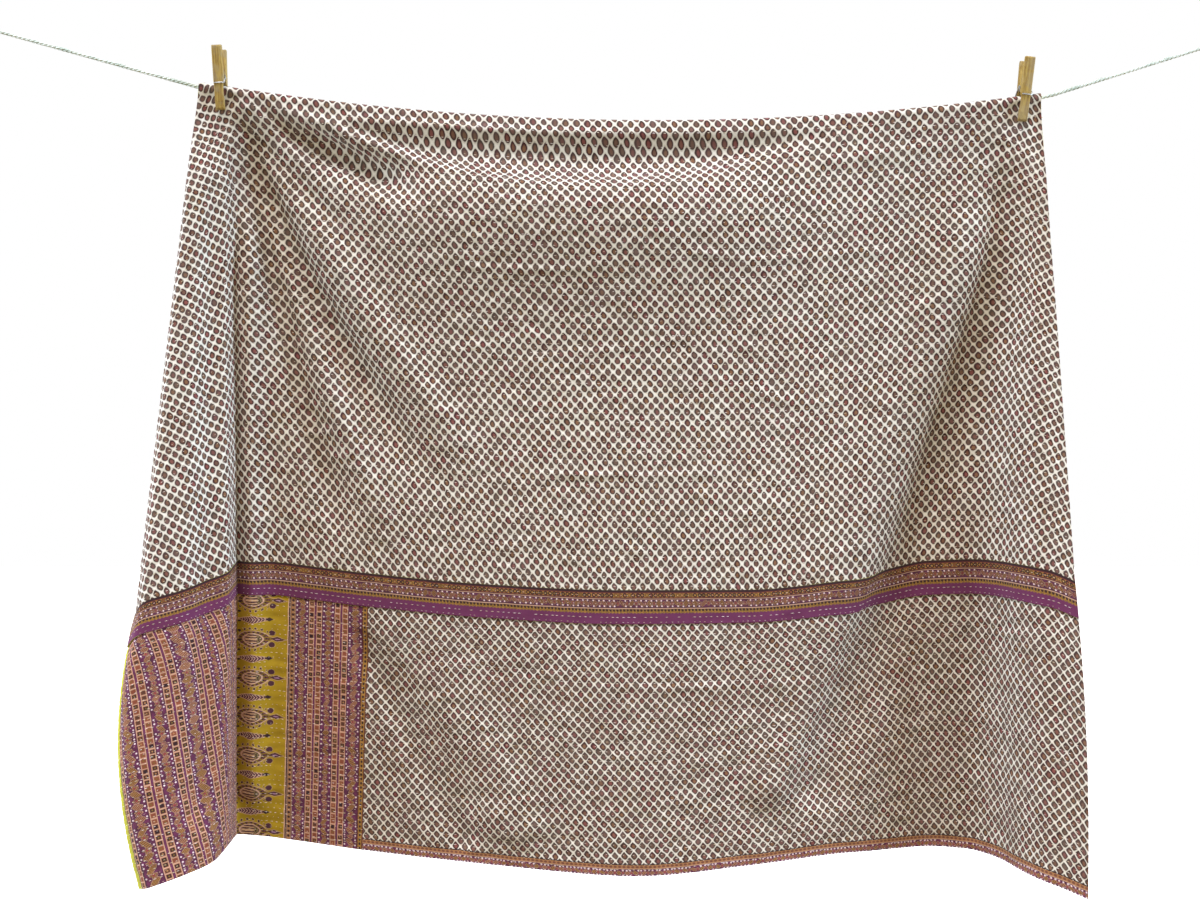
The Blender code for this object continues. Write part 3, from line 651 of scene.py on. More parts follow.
def even_columns(count):
    """Sections that are spaced evenly along the cloth at the band."""
    fine = np.linspace(0, len(SECTIONS) - 1, FINE_SECTIONS)
    row = front_cloth(fine, 1 + 0 * fine)
    lengths = np.append(0, np.cumsum(np.linalg.norm(np.diff(row, axis=0), axis=1)))
    return np.interp(np.linspace(0, lengths[-1], count), lengths, fine)


def run_across(points, section):
    """Distance along each row from the centre section."""
    steps = np.linalg.norm(np.diff(points, axis=1), axis=2)
    lengths = np.concatenate([np.zeros((len(points), 1)), np.cumsum(steps, axis=1)], axis=1)
    return lengths - np.array([np.interp(CENTRE_SECTION, section, row) for row in lengths])[:, None]


columns = even_columns(ACROSS_COLUMNS)
print(len(columns), "columns,", round(float(columns[1]), 4), "of a section apart at the left edge")

# %% The upper cloth: front
neck_down = NECK_STEPS * ROW_STEP
start = along("print_start", columns)
neck = [start + (neck_down - start) * k / NECK_STEPS for k in range(NECK_STEPS)]
straight = [down + 0 * start for down in np.arange(neck_down, BAND_DOWN + 2 * ROW_STEP, ROW_STEP)]
downs = np.array(neck + straight)
levels = (downs - start) / (BAND_DOWN - start)
turn = [turn_over_line(columns, pi / 2 + pi / 2 * k / TURN_STEPS) for k in range(TURN_STEPS)]
turn_downs = [start - OVER_LINE * pi / 2 * (1 - k / TURN_STEPS) for k in range(TURN_STEPS)]
front_middle = np.concatenate([np.array(turn), front_cloth(columns[None, :] + 0 * levels, levels)])
front_down = np.concatenate([np.array(turn_downs), downs])
front_level = np.concatenate([np.zeros((TURN_STEPS, len(columns))), levels])
front_across = (run_across(front_middle, columns) * (1 + GATHER * np.clip(front_level, 0, 1) ** GATHER_POWER)
                - UPPER_LEAN * front_down)
print("front", front_middle.shape)


# %% The upper cloth: back
BACK_PRINT_EVENS_OUT = 300      # millimetres down the back, from the slanted corners to a level print
back_columns = np.interp(np.linspace(0, 1, BACK_COLUMNS), np.linspace(0, 1, len(columns)), columns)
back_steps = int(BACK_DROP / ROW_STEP)
back_levels = np.linspace(0, 1, back_steps + 1)
back_turn = [turn_over_line(back_columns, pi / 2 * (1 - k / TURN_STEPS)) for k in range(TURN_STEPS)]
back_middle = np.concatenate([np.array(back_turn),
                              back_cloth(back_columns[None, :], back_levels[:, None])])[::-1]
back_below = np.concatenate([OVER_LINE * pi / 2 * np.arange(TURN_STEPS) / TURN_STEPS,
                             OVER_LINE * pi / 2 + BACK_DROP * back_levels])[::-1, None]
back_down = along("print_start", back_columns) * (1 - ease(back_below / BACK_PRINT_EVENS_OUT)) - back_below
back_across = run_across(back_middle, back_columns) - UPPER_LEAN * back_down
print("back", back_middle.shape)

# %% The band and the lower cloth
BAND_STEPS, BAND_LAP, TUCK = 20, 0.02, 0.012
SKIRT = HEM_DOWN - BAND_DOWN


def level_rows(downs):
    """Middle points and downs of level rows below the band's top."""
    downs = downs[:, None] + 0 * columns
    return front_cloth(columns[None, :], 1 + (downs[:, :1] - BAND_DOWN) / SKIRT), downs


band_levels = np.linspace(-BAND_LAP, 1, BAND_STEPS + 1)
band_middle, band_down = level_rows(BAND_DOWN + SKIRT * BAND_HEIGHT * band_levels)
band_across = run_across(band_middle, columns) * (1 + GATHER) - UPPER_LEAN * band_down
lower_start = ROW_STEP * round((BAND_DOWN + SKIRT * (BAND_HEIGHT - TUCK)) / ROW_STEP)
lower_middle, lower_down = level_rows(np.append(np.arange(lower_start, HEM_DOWN - 1, ROW_STEP), HEM_DOWN))
lower_run = run_across(lower_middle, columns)
lower_across = lower_run + LOWER_LEAN * (lower_down - BAND_DOWN)
print("band", band_middle.shape, "lower", lower_middle.shape)

# %% [markdown]
# ## Fine creases and puckers
# Handling and hanging leave fine creases, most of them nearly level, and the stitching leaves shallow
# puckers everywhere. The creases are listed in a table. The puckers are a sum of slow waves, long
# across the cloth and short down it, with fixed random directions.

# %% Fine creases (millimetres)
FINE_CREASES = (
    # start x and drop, via, end, rise, reach above and below, fade in and out
    (500,  150,  890,  238, 1300,  160,  -21, 22, 52, 0.25,  0.3),  # hollow under the line
    (480,  128,  900,  182, 1380,  134,   15, 10, 13,  0.3,  0.3),  # and the swelling above it
    (757,  262,  900,  272, 1071,  266,  1.5,  4,  6,  0.3,  0.3),
    (685,  345,  820,  368,  957,  352,  1.6,  4,  6,  0.3,  0.3),
    (985,  322, 1180,  365, 1386,  312,  1.6,  4,  6,  0.3,  0.3),
    (786,  642,  950,  658, 1128,  640,  1.6,  4,  6,  0.3,  0.3),
    (871,  948, 1080,  958, 1300,  938,  1.3,  4,  6,  0.3,  0.3),
    (1180, 215, 1320,  196, 1440,  168,  2.2,  8, 11,  0.3,  0.3),
    (1290, 450, 1370,  430, 1430,  380,  1.5,  7, 10,  0.3,  0.3),
    (1090, 500, 1180,  560, 1290,  540,  1.2,  7, 10,  0.3,  0.3),
    (400,  125,  454,  190,  610,  350,   -8, 13, 16,  0.4, 0.35),  # fan from the left peg
    (398,   98,  455,  140,  530,  240,    5, 10, 10, 0.15,  0.4),
    (480,  130,  572,  206,  700,  270, -8.5, 12, 17, 0.35, 0.35),
    (440,  106,  570,  175,  760,  232,    9, 11, 13,  0.2,  0.4),
    (405,  130,  475,  350,  690,  655, -8.5, 16, 16,  0.1, 0.35),  # long folds from it
    (440,  170,  560,  360,  760,  640,    4, 20, 24,  0.2, 0.35),
    (408,  160,  465,  440,  565,  780,   -8, 14, 14, 0.15,  0.2),
    (425,  200,  502,  420,  602,  690,    7, 13, 13,  0.2, 0.35),
    (424,  200,  424,  600,  426, 1150,   14, 18, 14,  0.2, 0.05),  # beside the left fold
    (382,  200,  380,  600,  378, 1150,   -9, 14, 16,  0.2, 0.05),
    (1500, 180, 1408,  640, 1150, 1140, 12.5, 28, 34,  0.2, 0.05),  # right valley
    (1562, 180, 1476,  640, 1226, 1140,  -11, 36, 28,  0.2, 0.05),
    (560,  850,  640, 1000,  745, 1190,   -9, 17, 17,  0.2, 0.05),  # low left crease
    (610,  850,  695, 1000,  800, 1180,    5, 20, 22, 0.25,  0.1),
)
print(len(FINE_CREASES), "fine creases")

# %% Puckers and furrows
PUCKER_WAVES, PUCKER_RISE, PUCKER_SEED = 34, 0.08, 11
PUCKER_LENGTHS, PUCKER_HEIGHTS = (45, 240), (15, 46)            # of the waves, in millimetres
EDGE_CALM, EDGE_FADE = 0.3, 60  # share of the puckers left at the side edges, where a hem holds the cloth
random = np.random.default_rng(PUCKER_SEED)
pucker_waves = [(1 / random.uniform(*PUCKER_LENGTHS) * random.choice([-1, 1]),
                 1 / random.uniform(*PUCKER_HEIGHTS), random.uniform(0, 2 * pi)) for _ in range(PUCKER_WAVES)]


def puckers(across, down):
    beside = np.minimum(across - across[:, :1], across[:, -1:] - across) / EDGE_FADE
    calm = EDGE_CALM + (1 - EDGE_CALM) * ease(beside)
    return PUCKER_RISE * calm * sum(np.sin(2 * pi * (across * fx + down * fy) + phase)
                                    for fx, fy, phase in pucker_waves)


def furrows(down):
    """The swelling between stitched rows: a furrow every STITCH_ROWS steps, and a shallow one between."""
    return -RIDGE / 2 * (np.cos(2 * pi * down / (STITCH_ROWS * ROW_STEP)) + np.cos(pi * down / ROW_STEP))


def fine_creases(middle):
    return sum(crease_rise(middle[..., 0], -middle[..., 2], crease) for crease in FINE_CREASES)


print(len(pucker_waves), "waves of puckers")

# %% Fine relief of each cloth
BAND_CALM, BAND_GATHER, BAND_GATHER_EVERY, BAND_GATHER_DRIFT = 0.5, 0.22, 23, 61
LEAST_GAP, MOST_MOVED = 2, 9    # how far the front's hollows push the back away, in millimetres
PUSH_START, PUSH_FADE = 350, 120
TUCK_DEPTH, TUCK_FADE = 1.5, 9  # how the lower cloth sinks behind the band, in millimetres
TURN_CALM, NECK_CALM, BACK_CALM, BACK_CALM_FADE, LOWER_CALM = 30, 12, 15, 30, 40

away_from_turn = ease((front_down - front_down[TURN_STEPS]) / TURN_CALM)
front_relief = (fine_creases(front_middle) + puckers(front_across, front_down)) * away_from_turn
front_ripple = furrows(front_down) * ease((front_down - neck_down + NECK_CALM) / NECK_CALM)
back_calm = ease((back_below - BACK_CALM) / BACK_CALM_FADE)
pushed = (np.clip(LEAST_GAP - fine_creases(back_middle), 0, MOST_MOVED)
          * ease((PUSH_START - back_below) / PUSH_FADE))
back_relief = (puckers(back_across, -back_below + 0 * back_across) + pushed) * back_calm
back_ripple = furrows(back_below - OVER_LINE * pi / 2) * back_calm + 0 * back_across
tucked = TUCK_DEPTH * np.exp(-((lower_down - lower_start) / TUCK_FADE) ** 2)
lower_relief = (fine_creases(lower_middle) - tucked
                + puckers(lower_across, lower_down) * ease((lower_down - lower_start) / LOWER_CALM))
lower_ripple = furrows(lower_down)
band_relief = BAND_CALM * puckers(band_across, band_down) + fine_creases(band_middle)
band_ripple = BAND_GATHER * np.sin(2 * pi * band_across / BAND_GATHER_EVERY
                                   + 3 * np.sin(band_across / BAND_GATHER_DRIFT))
print("relief of the front from", front_relief.min().round(1), "to", front_relief.max().round(1), "mm")

# %% [markdown]
# ## From rows of points to a thin, closed sheet
# A piece of cloth is a fine printed face, a coarser reverse one cloth's thickness behind it, and a narrow
# edge all round that joins them. Two UV maps go with it: `Print`, the place in the cloth in metres, for
# the pattern, and `OFBake`, which lays the face in strips on a square so that a baked picture is sharp.

# %% The coarser reverse
REVERSE_STEP = 4                # rows and columns of the face to one of the reverse
TIGHT_BEND = radians(5)         # between two columns, where the reverse keeps every column


def reverse_rows(count):
    """Every REVERSE_STEP-th number below count, and the last."""
    return list(range(0, count - 1, REVERSE_STEP)) + [count - 1]


def reverse_columns(facing):
    """The same, and every column where the cloth bends tightly."""
    bend = np.arccos(np.clip((facing[:, 1:] * facing[:, :-1]).sum(axis=2), -1, 1)).mean(axis=0)
    tight = {c + k for c in np.flatnonzero(bend > TIGHT_BEND) for k in (0, 1)}
    return sorted(tight | set(reverse_rows(facing.shape[1])))


def lowest_near(height):
    """The least height within a few rows and columns, so that the coarser reverse stays behind every fold."""
    reach = REVERSE_STEP // 2 + 1
    for axis in (0, 1):
        padded = np.pad(height, [(reach, reach) if k == axis else (0, 0) for k in (0, 1)], mode="edge")
        height = np.min([np.take(padded, range(k, k + height.shape[axis]), axis=axis)
                         for k in range(2 * reach + 1)], axis=0)
    return height


print("reverse of the front has", len(reverse_rows(len(front_middle))), "rows")

# %% Faces, and their places in a baked picture
BAKE_MARGIN, REVERSE_STRIP, REVERSE_GAP = 0.004, 0.26, 0.02     # of the square that is baked


def sheet_faces(grid, rear, row_picks, col_picks):
    """The quads of the face, and then those of the reverse and the edge, from the numbers of their points."""
    quads = np.stack([grid[:-1, :-1], grid[1:, :-1], grid[1:, 1:], grid[:-1, 1:]], axis=-1).reshape(-1, 4)
    turned = np.stack([rear[:-1, 1:], rear[1:, 1:], rear[1:, :-1], rear[:-1, :-1]], axis=-1)
    rest = list(turned.reshape(-1, 4))
    for k, (c0, c1) in enumerate(zip(col_picks, col_picks[1:])):
        rest.append([*grid[0, c0:c1 + 1], rear[0, k + 1], rear[0, k]])
        rest.append([*grid[-1, c0:c1 + 1][::-1], rear[-1, k], rear[-1, k + 1]])
    for k, (r0, r1) in enumerate(zip(row_picks, row_picks[1:])):
        rest.append([*grid[r0:r1 + 1, 0][::-1], rear[k, 0], rear[k + 1, 0]])
        rest.append([*grid[r0:r1 + 1, -1], rear[k + 1, -1], rear[k, -1]])
    return quads.tolist(), [[int(point) for point in face] for face in rest]


def bake_places(grid, row_picks, col_picks, strips, quad_corners, rest_corners):
    """The face in side-by-side strips, one above the other, and the reverse in a last, thin strip."""
    rows, cols = grid.shape
    per_strip = -(-(cols - 1) // strips)
    strip = np.repeat(np.tile(np.arange(cols - 1), rows - 1), 4) // per_strip
    row, col = quad_corners // cols, quad_corners % cols
    margin, bands = BAKE_MARGIN * strips, strips + REVERSE_STRIP + 2 * REVERSE_GAP
    printed = [(col - strip * per_strip) / per_strip,
               (strip + margin + (1 - 2 * margin) * row / (rows - 1)) / bands]
    all_rows = np.concatenate([np.repeat(np.arange(rows), cols), np.repeat(row_picks, len(col_picks))])
    all_cols = np.concatenate([np.tile(np.arange(cols), rows), np.tile(col_picks, len(row_picks))])
    hidden = [all_cols[rest_corners] / (cols - 1),
              (strips + REVERSE_GAP + REVERSE_STRIP * all_rows[rest_corners] / (rows - 1)) / bands]
    spots = np.concatenate([np.stack(printed, axis=-1), np.stack(hidden, axis=-1)])
    return BAKE_MARGIN + spots * (1 - 2 * BAKE_MARGIN)


print("faces and their places ready")

# %% Making one sheet
SHARP_EDGE = radians(62)


def sheet(name, middle, relief, ripple, places, strips, finishes, lift=0.0):
    """A closed sheet from rows of middle points in millimetres, with its UV maps in places."""
    rows, cols = middle.shape[:2]
    facing = outward(middle)
    face = middle + (lift + relief)[..., None] * facing + (CLOTH / 2 + ripple)[..., None] * facing
    row_picks, col_picks = reverse_rows(rows), reverse_columns(facing)
    picked = np.ix_(row_picks, col_picks)
    reverse = (middle + (lift + lowest_near(relief) - CLOTH / 2)[..., None] * facing)[picked]
    grid = np.arange(rows * cols).reshape(rows, cols)
    rear = rows * cols + np.arange(reverse[..., 0].size).reshape(reverse.shape[:2])
    quads, rest = sheet_faces(grid, rear, row_picks, col_picks)
    mesh = bpy.data.meshes.new(name)
    points = np.concatenate([face.reshape(-1, 3), reverse.reshape(-1, 3)]) * MM
    mesh.from_pydata(points.tolist(), [], quads + rest)

    corners = np.empty(len(mesh.loops), np.int64)
    mesh.loops.foreach_get("vertex_index", corners)
    for label, place in places.items():
        place = np.stack(place, axis=-1)
        both = np.concatenate([place.reshape(-1, 2), place[picked].reshape(-1, 2)])
        mesh.uv_layers.new(name=label).data.foreach_set("uv", (both * MM)[corners].ravel())
    baked = bake_places(grid, row_picks, col_picks, strips, *np.split(corners, [4 * len(quads)]))
    mesh.uv_layers.new(name="OFBake").data.foreach_set("uv", baked.ravel())
    for finish in finishes:
        mesh.materials.append(finish)
    mesh.polygons.foreach_set("material_index", np.repeat([0, 1], [len(quads), len(rest)]).astype(np.int32))
    mesh.shade_smooth()
    mesh.set_sharp_from_angle(angle=SHARP_EDGE)
    print(name, len(mesh.polygons), "faces, face", rows, "x", cols)
    return link(bpy.data.objects.new(name, mesh)), face


print("sheet maker ready")

# %% Places across the end panel
PANEL_EDGE_HIDDEN, PANEL_EDGE_FADE = 43, 0.2     # how much of the cloth's edge rolls under at the band
PANEL_SCALE_TOP, PANEL_SCALE_CHANGE = 0.93, -0.10
PANEL_FOLD, PANEL_SHIFT = 220, 8                 # the stripe that comes out of the fold
panel_run = lower_run - lower_run[:, :1]
at_lip, at_valley = (np.array([np.interp(section, columns, row) for row in panel_run])[:, None]
                     for section in (FOLD_LIP, FOLD_VALLEY))
fallen = (lower_down - BAND_DOWN) / SKIRT
edge_start = PANEL_EDGE_HIDDEN * np.exp(-np.clip(fallen - BAND_HEIGHT, 0, None) / PANEL_EDGE_FADE)
panel_scale = PANEL_SCALE_TOP + PANEL_SCALE_CHANGE * fallen
lip_stripe = edge_start + panel_scale * at_lip
valley_stripe = PANEL_FOLD + PANEL_SHIFT * fallen
in_fold = lip_stripe + (valley_stripe - lip_stripe) * (panel_run - at_lip) / (at_valley - at_lip)
panel_across = np.where(columns < FOLD_LIP, edge_start + panel_scale * panel_run,
                        np.where(columns < FOLD_VALLEY, in_fold, valley_stripe + panel_run - at_valley))
print("end panel from", panel_across.min().round(1))

# %% [markdown]
# ## The printed ground
# Both cloths are block-printed with the same small bud on cream, in a half-drop repeat. The place in the
# cloth is turned into two slanting counts, `a` and `b`. Every pair of whole numbers is then the middle of
# one bud, and what is left over says where a point lies within it. On the upper cloth the buds are small
# and egg-shaped, with a wide cream ground. On the lower cloth they nearly touch, so the cream shows as a net.

# %% Colours
CREAM, NET, CREAM_SHADE = paint(208, 200, 186), paint(225, 219, 209), paint(195, 185, 170)
PLUM, MUSTARD, TAN = paint(102, 44, 76), paint(160, 124, 30), paint(160, 112, 72)
PALE, DARK, OLIVE, RUST = paint(202, 158, 132), paint(46, 24, 26), paint(116, 86, 38), paint(126, 66, 46)
LIME, BOX_TAN, GOLD = paint(184, 178, 40), paint(150, 102, 72), paint(152, 110, 48)
BUD_DARKS = (paint(60, 34, 29), paint(64, 32, 32), paint(58, 37, 29))
BUD_CENTRES = (paint(128, 78, 66), paint(120, 80, 60), paint(130, 72, 66), paint(112, 80, 64),
               paint(130, 90, 62))
PRINTED_WHITE = paint(232, 210, 212)
print("buds of", len(BUD_DARKS), "dark and", len(BUD_CENTRES), "lighter colours")

# %% The bud
UPPER_PITCH, LOWER_PITCH = (15.5, 16.4), (13.2, 14.8)
SWAY, SWAY_SCALE = 2.4, 0.09    # how far the rows of buds wander, in millimetres


def one_of(ink, share, colours):
    """One of several colours, chosen by a number from 0 to 1."""
    return ink.cover(colours[0], *((share > k / len(colours), colours[k]) for k in range(1, len(colours))))


def bud_ground(ink, across, down, pitch, squeeze, power, size, seed):
    """Cream, with a half drop of buds. pitch is in millimetres and size a share of the cell."""
    where = ink.point(across, down)
    p = (across + SWAY * ink.wander(across, down, SWAY_SCALE, 1.0)) / pitch[0]
    q = (down + SWAY * ink.wander(down, across, SWAY_SCALE, 1.0, 31.0)) / pitch[1]
    a, b = p + q, p - q
    cell_a, cell_b = (a + 0.5).floor(), (b + 0.5).floor()
    s, t = a - cell_a, b - cell_b
    scale, hue, warm = ink.chance(cell_a, cell_b, seed)
    tilt, faded, high = ink.chance(cell_a, cell_b, seed + 3.7)
    y = (s - t) * 0.5
    x = (s + t) * 0.5 * (1 - 0.5 * y) + (tilt - 0.5) * 0.2 * y - 0.07 * y
    slant_a, slant_b = abs(x * squeeze[0] + y * squeeze[1]), abs(x * squeeze[0] - y * squeeze[1])
    reach = 2 * (slant_a ** power + slant_b ** power) ** (1 / power)
    reach = reach / (size * (0.93 + 0.14 * scale)) + 0.16 * ink.wander(across, down, 0.55, 1.0)
    centre_x, centre_y = x - 0.015 - 0.05 * (scale - 0.5), y - 0.02 - 0.05 * high
    centre = 2 * (abs(centre_x * squeeze[0] * 1.1) ** 2.0 + abs(centre_y * squeeze[1]) ** 2.0).root() / size
    light = (1 - centre.rise(0.24, 0.60)) * (0.50 + 0.45 * faded)
    bud = ink.mix(light, one_of(ink, hue, BUD_DARKS), one_of(ink, warm, BUD_CENTRES))
    cream = ink.mix(ink.noise(where, 0.02, 3.0).rise(0.35, 0.6), CREAM_SHADE, CREAM)
    return ink.cover(cream, (reach.rise(1.12, 1.40), NET),
                     ((1 - reach.rise(0.93, 1.08)) * (0.92 + 0.08 * faded), bud))


print("buds every", UPPER_PITCH, "mm above and", LOWER_PITCH, "mm below")

# %% Cotton
THREADS, ALONG_THREAD, THREAD_HEIGHT, THREAD_STRENGTH = 1.1, 0.12, 0.0004, 0.5


def cotton(name, roughness=0.92):
    """A new cotton finish, with the places across and down its print."""
    finish = Finish(name, roughness=roughness, sheen=0.1, specular=0.25)
    return finish, *finish.cloth_place("Print")


def woven(ink, across, down, colour):
    """The finished material, with the small unevenness of hand-woven cotton."""
    weft = ink.noise(ink.point(across * ALONG_THREAD, down * THREADS), 1.0)
    warp = ink.noise(ink.point(across * THREADS, down * ALONG_THREAD, 9.0), 1.0)
    return ink.finish(colour, weft * 0.5 + warp * 0.5, THREAD_HEIGHT, THREAD_STRENGTH)


ink, across, down = cotton("printed_cotton")
front_paint = woven(ink, across, down,
                    bud_ground(ink, across, down, UPPER_PITCH, (1.06, 0.92), 2.6, 0.80, 1.0))
ink, across, down = cotton("backing_cotton")
backing_paint = woven(ink, across, down, ink.mix(ink.noise(ink.point(across, down), 0.03, 3.0),
                                                 paint(178, 172, 44), paint(150, 142, 40)))
print("upper cloth and backing printed")

# %% [markdown]
# ## Stripes and borders
# The printed band and the panel at the left end of the lower cloth are stacks of narrow stripes: plain
# lines, rows of little boxes, and plum strips with a chain of leaves and flowers between pale dots. Each
# colour is laid over the one before it, with a share that is 1 inside its own shape.

# %% Spots and repeats
def spot(x, y, radius_x, radius_y, soft=0.25):
    """1 within an ellipse round zero."""
    x, y = x / radius_x, y / radius_y
    return 1 - (x * x + y * y).root().past(1, soft)


def repeat(value, period, shift=0.0):
    """Distance to the middle of the nearest repeat."""
    return (value + shift) % period - period / 2


print("spots ready")

# %% A chain of leaves and flowers
def vine(ink, along_it, across_it, half_width, seed):
    """A chain of ribbed leaves and flowers with thin pale outlines, on plum. across_it is 0 in its middle."""
    period = 1.8 * half_width + 6
    style, turn, tint = ink.chance((along_it / period).floor(), seed, 4.0)
    rough = ink.wander(along_it, across_it, 0.32, 2.0, seed)
    lean = (turn - 0.5) * 1.6
    y = across_it + 1.6 * rough
    x = repeat(along_it, period) + lean * y
    leaf = abs(x) / (period * 0.26) + (y / half_width) * (y / half_width)
    flower_x = repeat(along_it, period, period / 2)
    petals = (y.angle(flower_x) * 5 + tint * 6).cosine()
    flower = (flower_x * flower_x + y * y).root() / (half_width * (0.54 + 0.18 * petals))
    nearest = leaf.least(flower) + 0.3 * rough
    ribs = (along_it * 2.2 + y * (lean + 1.4) * 1.7).sine().rise(0.1, 0.6)
    fill = ink.mix(ribs, ink.mix(style > 0.45, TAN, GOLD), ink.mix(0.5, PLUM, DARK))
    fill = ink.mix(spot(flower_x, y, 1.4, 1.4), fill, paint(138, 52, 62))
    stem = (along_it * (2 * pi / period)).cosine() * half_width * 0.7
    return ink.cover(PLUM,
                     (ink.noise(ink.point(along_it, across_it), 0.12).rise(0.4, 0.6) * 0.45, DARK),
                     (nearest.inside(1.1, 1.4, 0.07) * 0.8, DARK),
                     (nearest.inside(0.98, 1.14, 0.07) * 0.7, PALE),
                     (1 - nearest.rise(0.88, 0.98), fill),
                     (nearest.rise(1.25, 1.35) * (1 - abs(y - stem).rise(0.3, 0.8)) * 0.7, TAN))


print("chain ready")

# %% Rows of dots and boxes
BOX_EVERY = 8.0


def pale_dots(ink, along_it, beside, period, seed):
    """Small pale dots in a row where beside is near 0, as a layer."""
    missing, high, wide = ink.chance((along_it / period).floor(), seed, 2.0)
    dot = spot(repeat(along_it, period) + (high - 0.5) * 1.8, beside + (wide - 0.5) * 0.6, 1.25, 1.1, 0.3)
    return dot * (missing > 0.15) * (0.7 + 0.3 * wide), PRINTED_WHITE


def boxes(ink, along_it, x, width):
    """A row of little boxes, each with a dark square in it. x runs from 0 to width across it."""
    tint, length, full = ink.chance((along_it / BOX_EVERY).floor(), x * 0 + width, 6.0)
    y = abs(repeat(along_it, BOX_EVERY) + (length - 0.5) * 0.9)
    half = width / 2
    side = abs(x - half)
    square = (side - (half - 2.3)).most(y - (BOX_EVERY / 2 - 1.5))
    frame_place = (side - (half - 1.5)).most(y - (BOX_EVERY / 2 - 0.75))
    return ink.cover(one_of(ink, tint, (DARK, paint(84, 50, 36), RUST)),
                     (spot(side, y, 1.1, 1.3, 0.4) * (full > 0.3),
                      one_of(ink, full, (TAN, OLIVE, TAN, OLIVE))),
                     (square.rise(-0.25, 0.35), ink.mix(square.inside(0.0, 0.9, 0.2) * 0.6, BOX_TAN, RUST)),
                     (frame_place.rise(-0.3, 0.15) * 0.75, PALE),
                     (side.rise(half - 0.75, half - 0.35), paint(80, 38, 54)))


print("boxes every", BOX_EVERY, "mm")

# %% The printed band
BAND_LINE, BAND_DASHES, BAND_PALE, BAND_VINE, BAND_RULE, BAND_SCALLOPS = 2.0, 10.1, 12.0, 23.6, 26.0, 32.4
DASH_EVERY, SCALLOP_EVERY, DOT_EVERY = 7.2, 5.6, 8.6


def band_print(ink, across, down):
    """From the band's top: a dark line, gold dashes, a vine between pale rules, scallops and plain plum."""
    tint, length, full = ink.chance((across / DASH_EVERY).floor(), 1.0)
    dash_x, dash_y = repeat(across, DASH_EVERY) + (length - 0.5), down - (BAND_LINE + BAND_DASHES) / 2
    ring = (dash_x * dash_x / 9.5 + dash_y * dash_y / 7.0).root() + 0.5 * ink.wander(across, down, 0.5, 1.0)
    middle, half = (BAND_PALE + BAND_VINE) / 2, (BAND_VINE - BAND_PALE) / 2
    chain = ink.cover(vine(ink, across, down - middle, half - 0.9, 1.0), (0.3, DARK),
                      pale_dots(ink, across, abs(down - middle) - (half - 1.7), DOT_EVERY, 2.0))
    scallops = ink.cover(GOLD, (ink.noise(ink.point(across, down), 0.4).rise(0.4, 0.6), OLIVE),
                         (spot(repeat(across, SCALLOP_EVERY, SCALLOP_EVERY / 2), down - (BAND_RULE + 1.4),
                               1.9, 2.1, 0.3), DARK))
    plain = ink.mix(ink.noise(ink.point(across, down), 0.1, 3.0), PLUM, paint(96, 40, 78))
    scalloped = down + abs(repeat(across, SCALLOP_EVERY)) * 0.55
    return ink.cover(GOLD, (abs(dash_y).rise(2.4, 3.2), paint(110, 52, 42)),
                     (ring.inside(0.5, 1.15, 0.12) * (0.6 + 0.4 * (full > 0.2)), DARK),
                     (1 - ring.rise(0.45, 0.55), one_of(ink, tint, (OLIVE, TAN, GOLD, RUST))),
                     (1 - down.past(BAND_LINE, 0.3), DARK),
                     (down.rise(BAND_DASHES - 0.5, BAND_DASHES), DARK),
                     (down.inside(BAND_DASHES + 0.7, BAND_PALE - 0.2, 0.25) * 0.8, PALE),
                     (down.rise(BAND_PALE, BAND_PALE + 0.4), chain),
                     (down.past(BAND_VINE, 0.2), DARK),
                     (down.inside(BAND_VINE + 0.8, BAND_RULE - 0.2, 0.3) * 0.8, PALE),
                     (down.rise(BAND_RULE, BAND_RULE + 0.4), scallops),
                     (scalloped.rise(BAND_SCALLOPS - 0.3, BAND_SCALLOPS + 0.6), plain))


ink, across, down = cotton("band_cotton", 0.9)
down = down + 1.2 * ink.wander(across, down, 0.06)
band_paint = woven(ink, across, down, band_print(ink, across, down))
print("band printed,", round(BAND_HEIGHT * SKIRT, 1), "mm deep")

# %% Medallions
MEDALLION_EVERY, MEDALLION_SHIFT, EDGE_DOT_SHIFT = 57.5, 41.75, 3.0


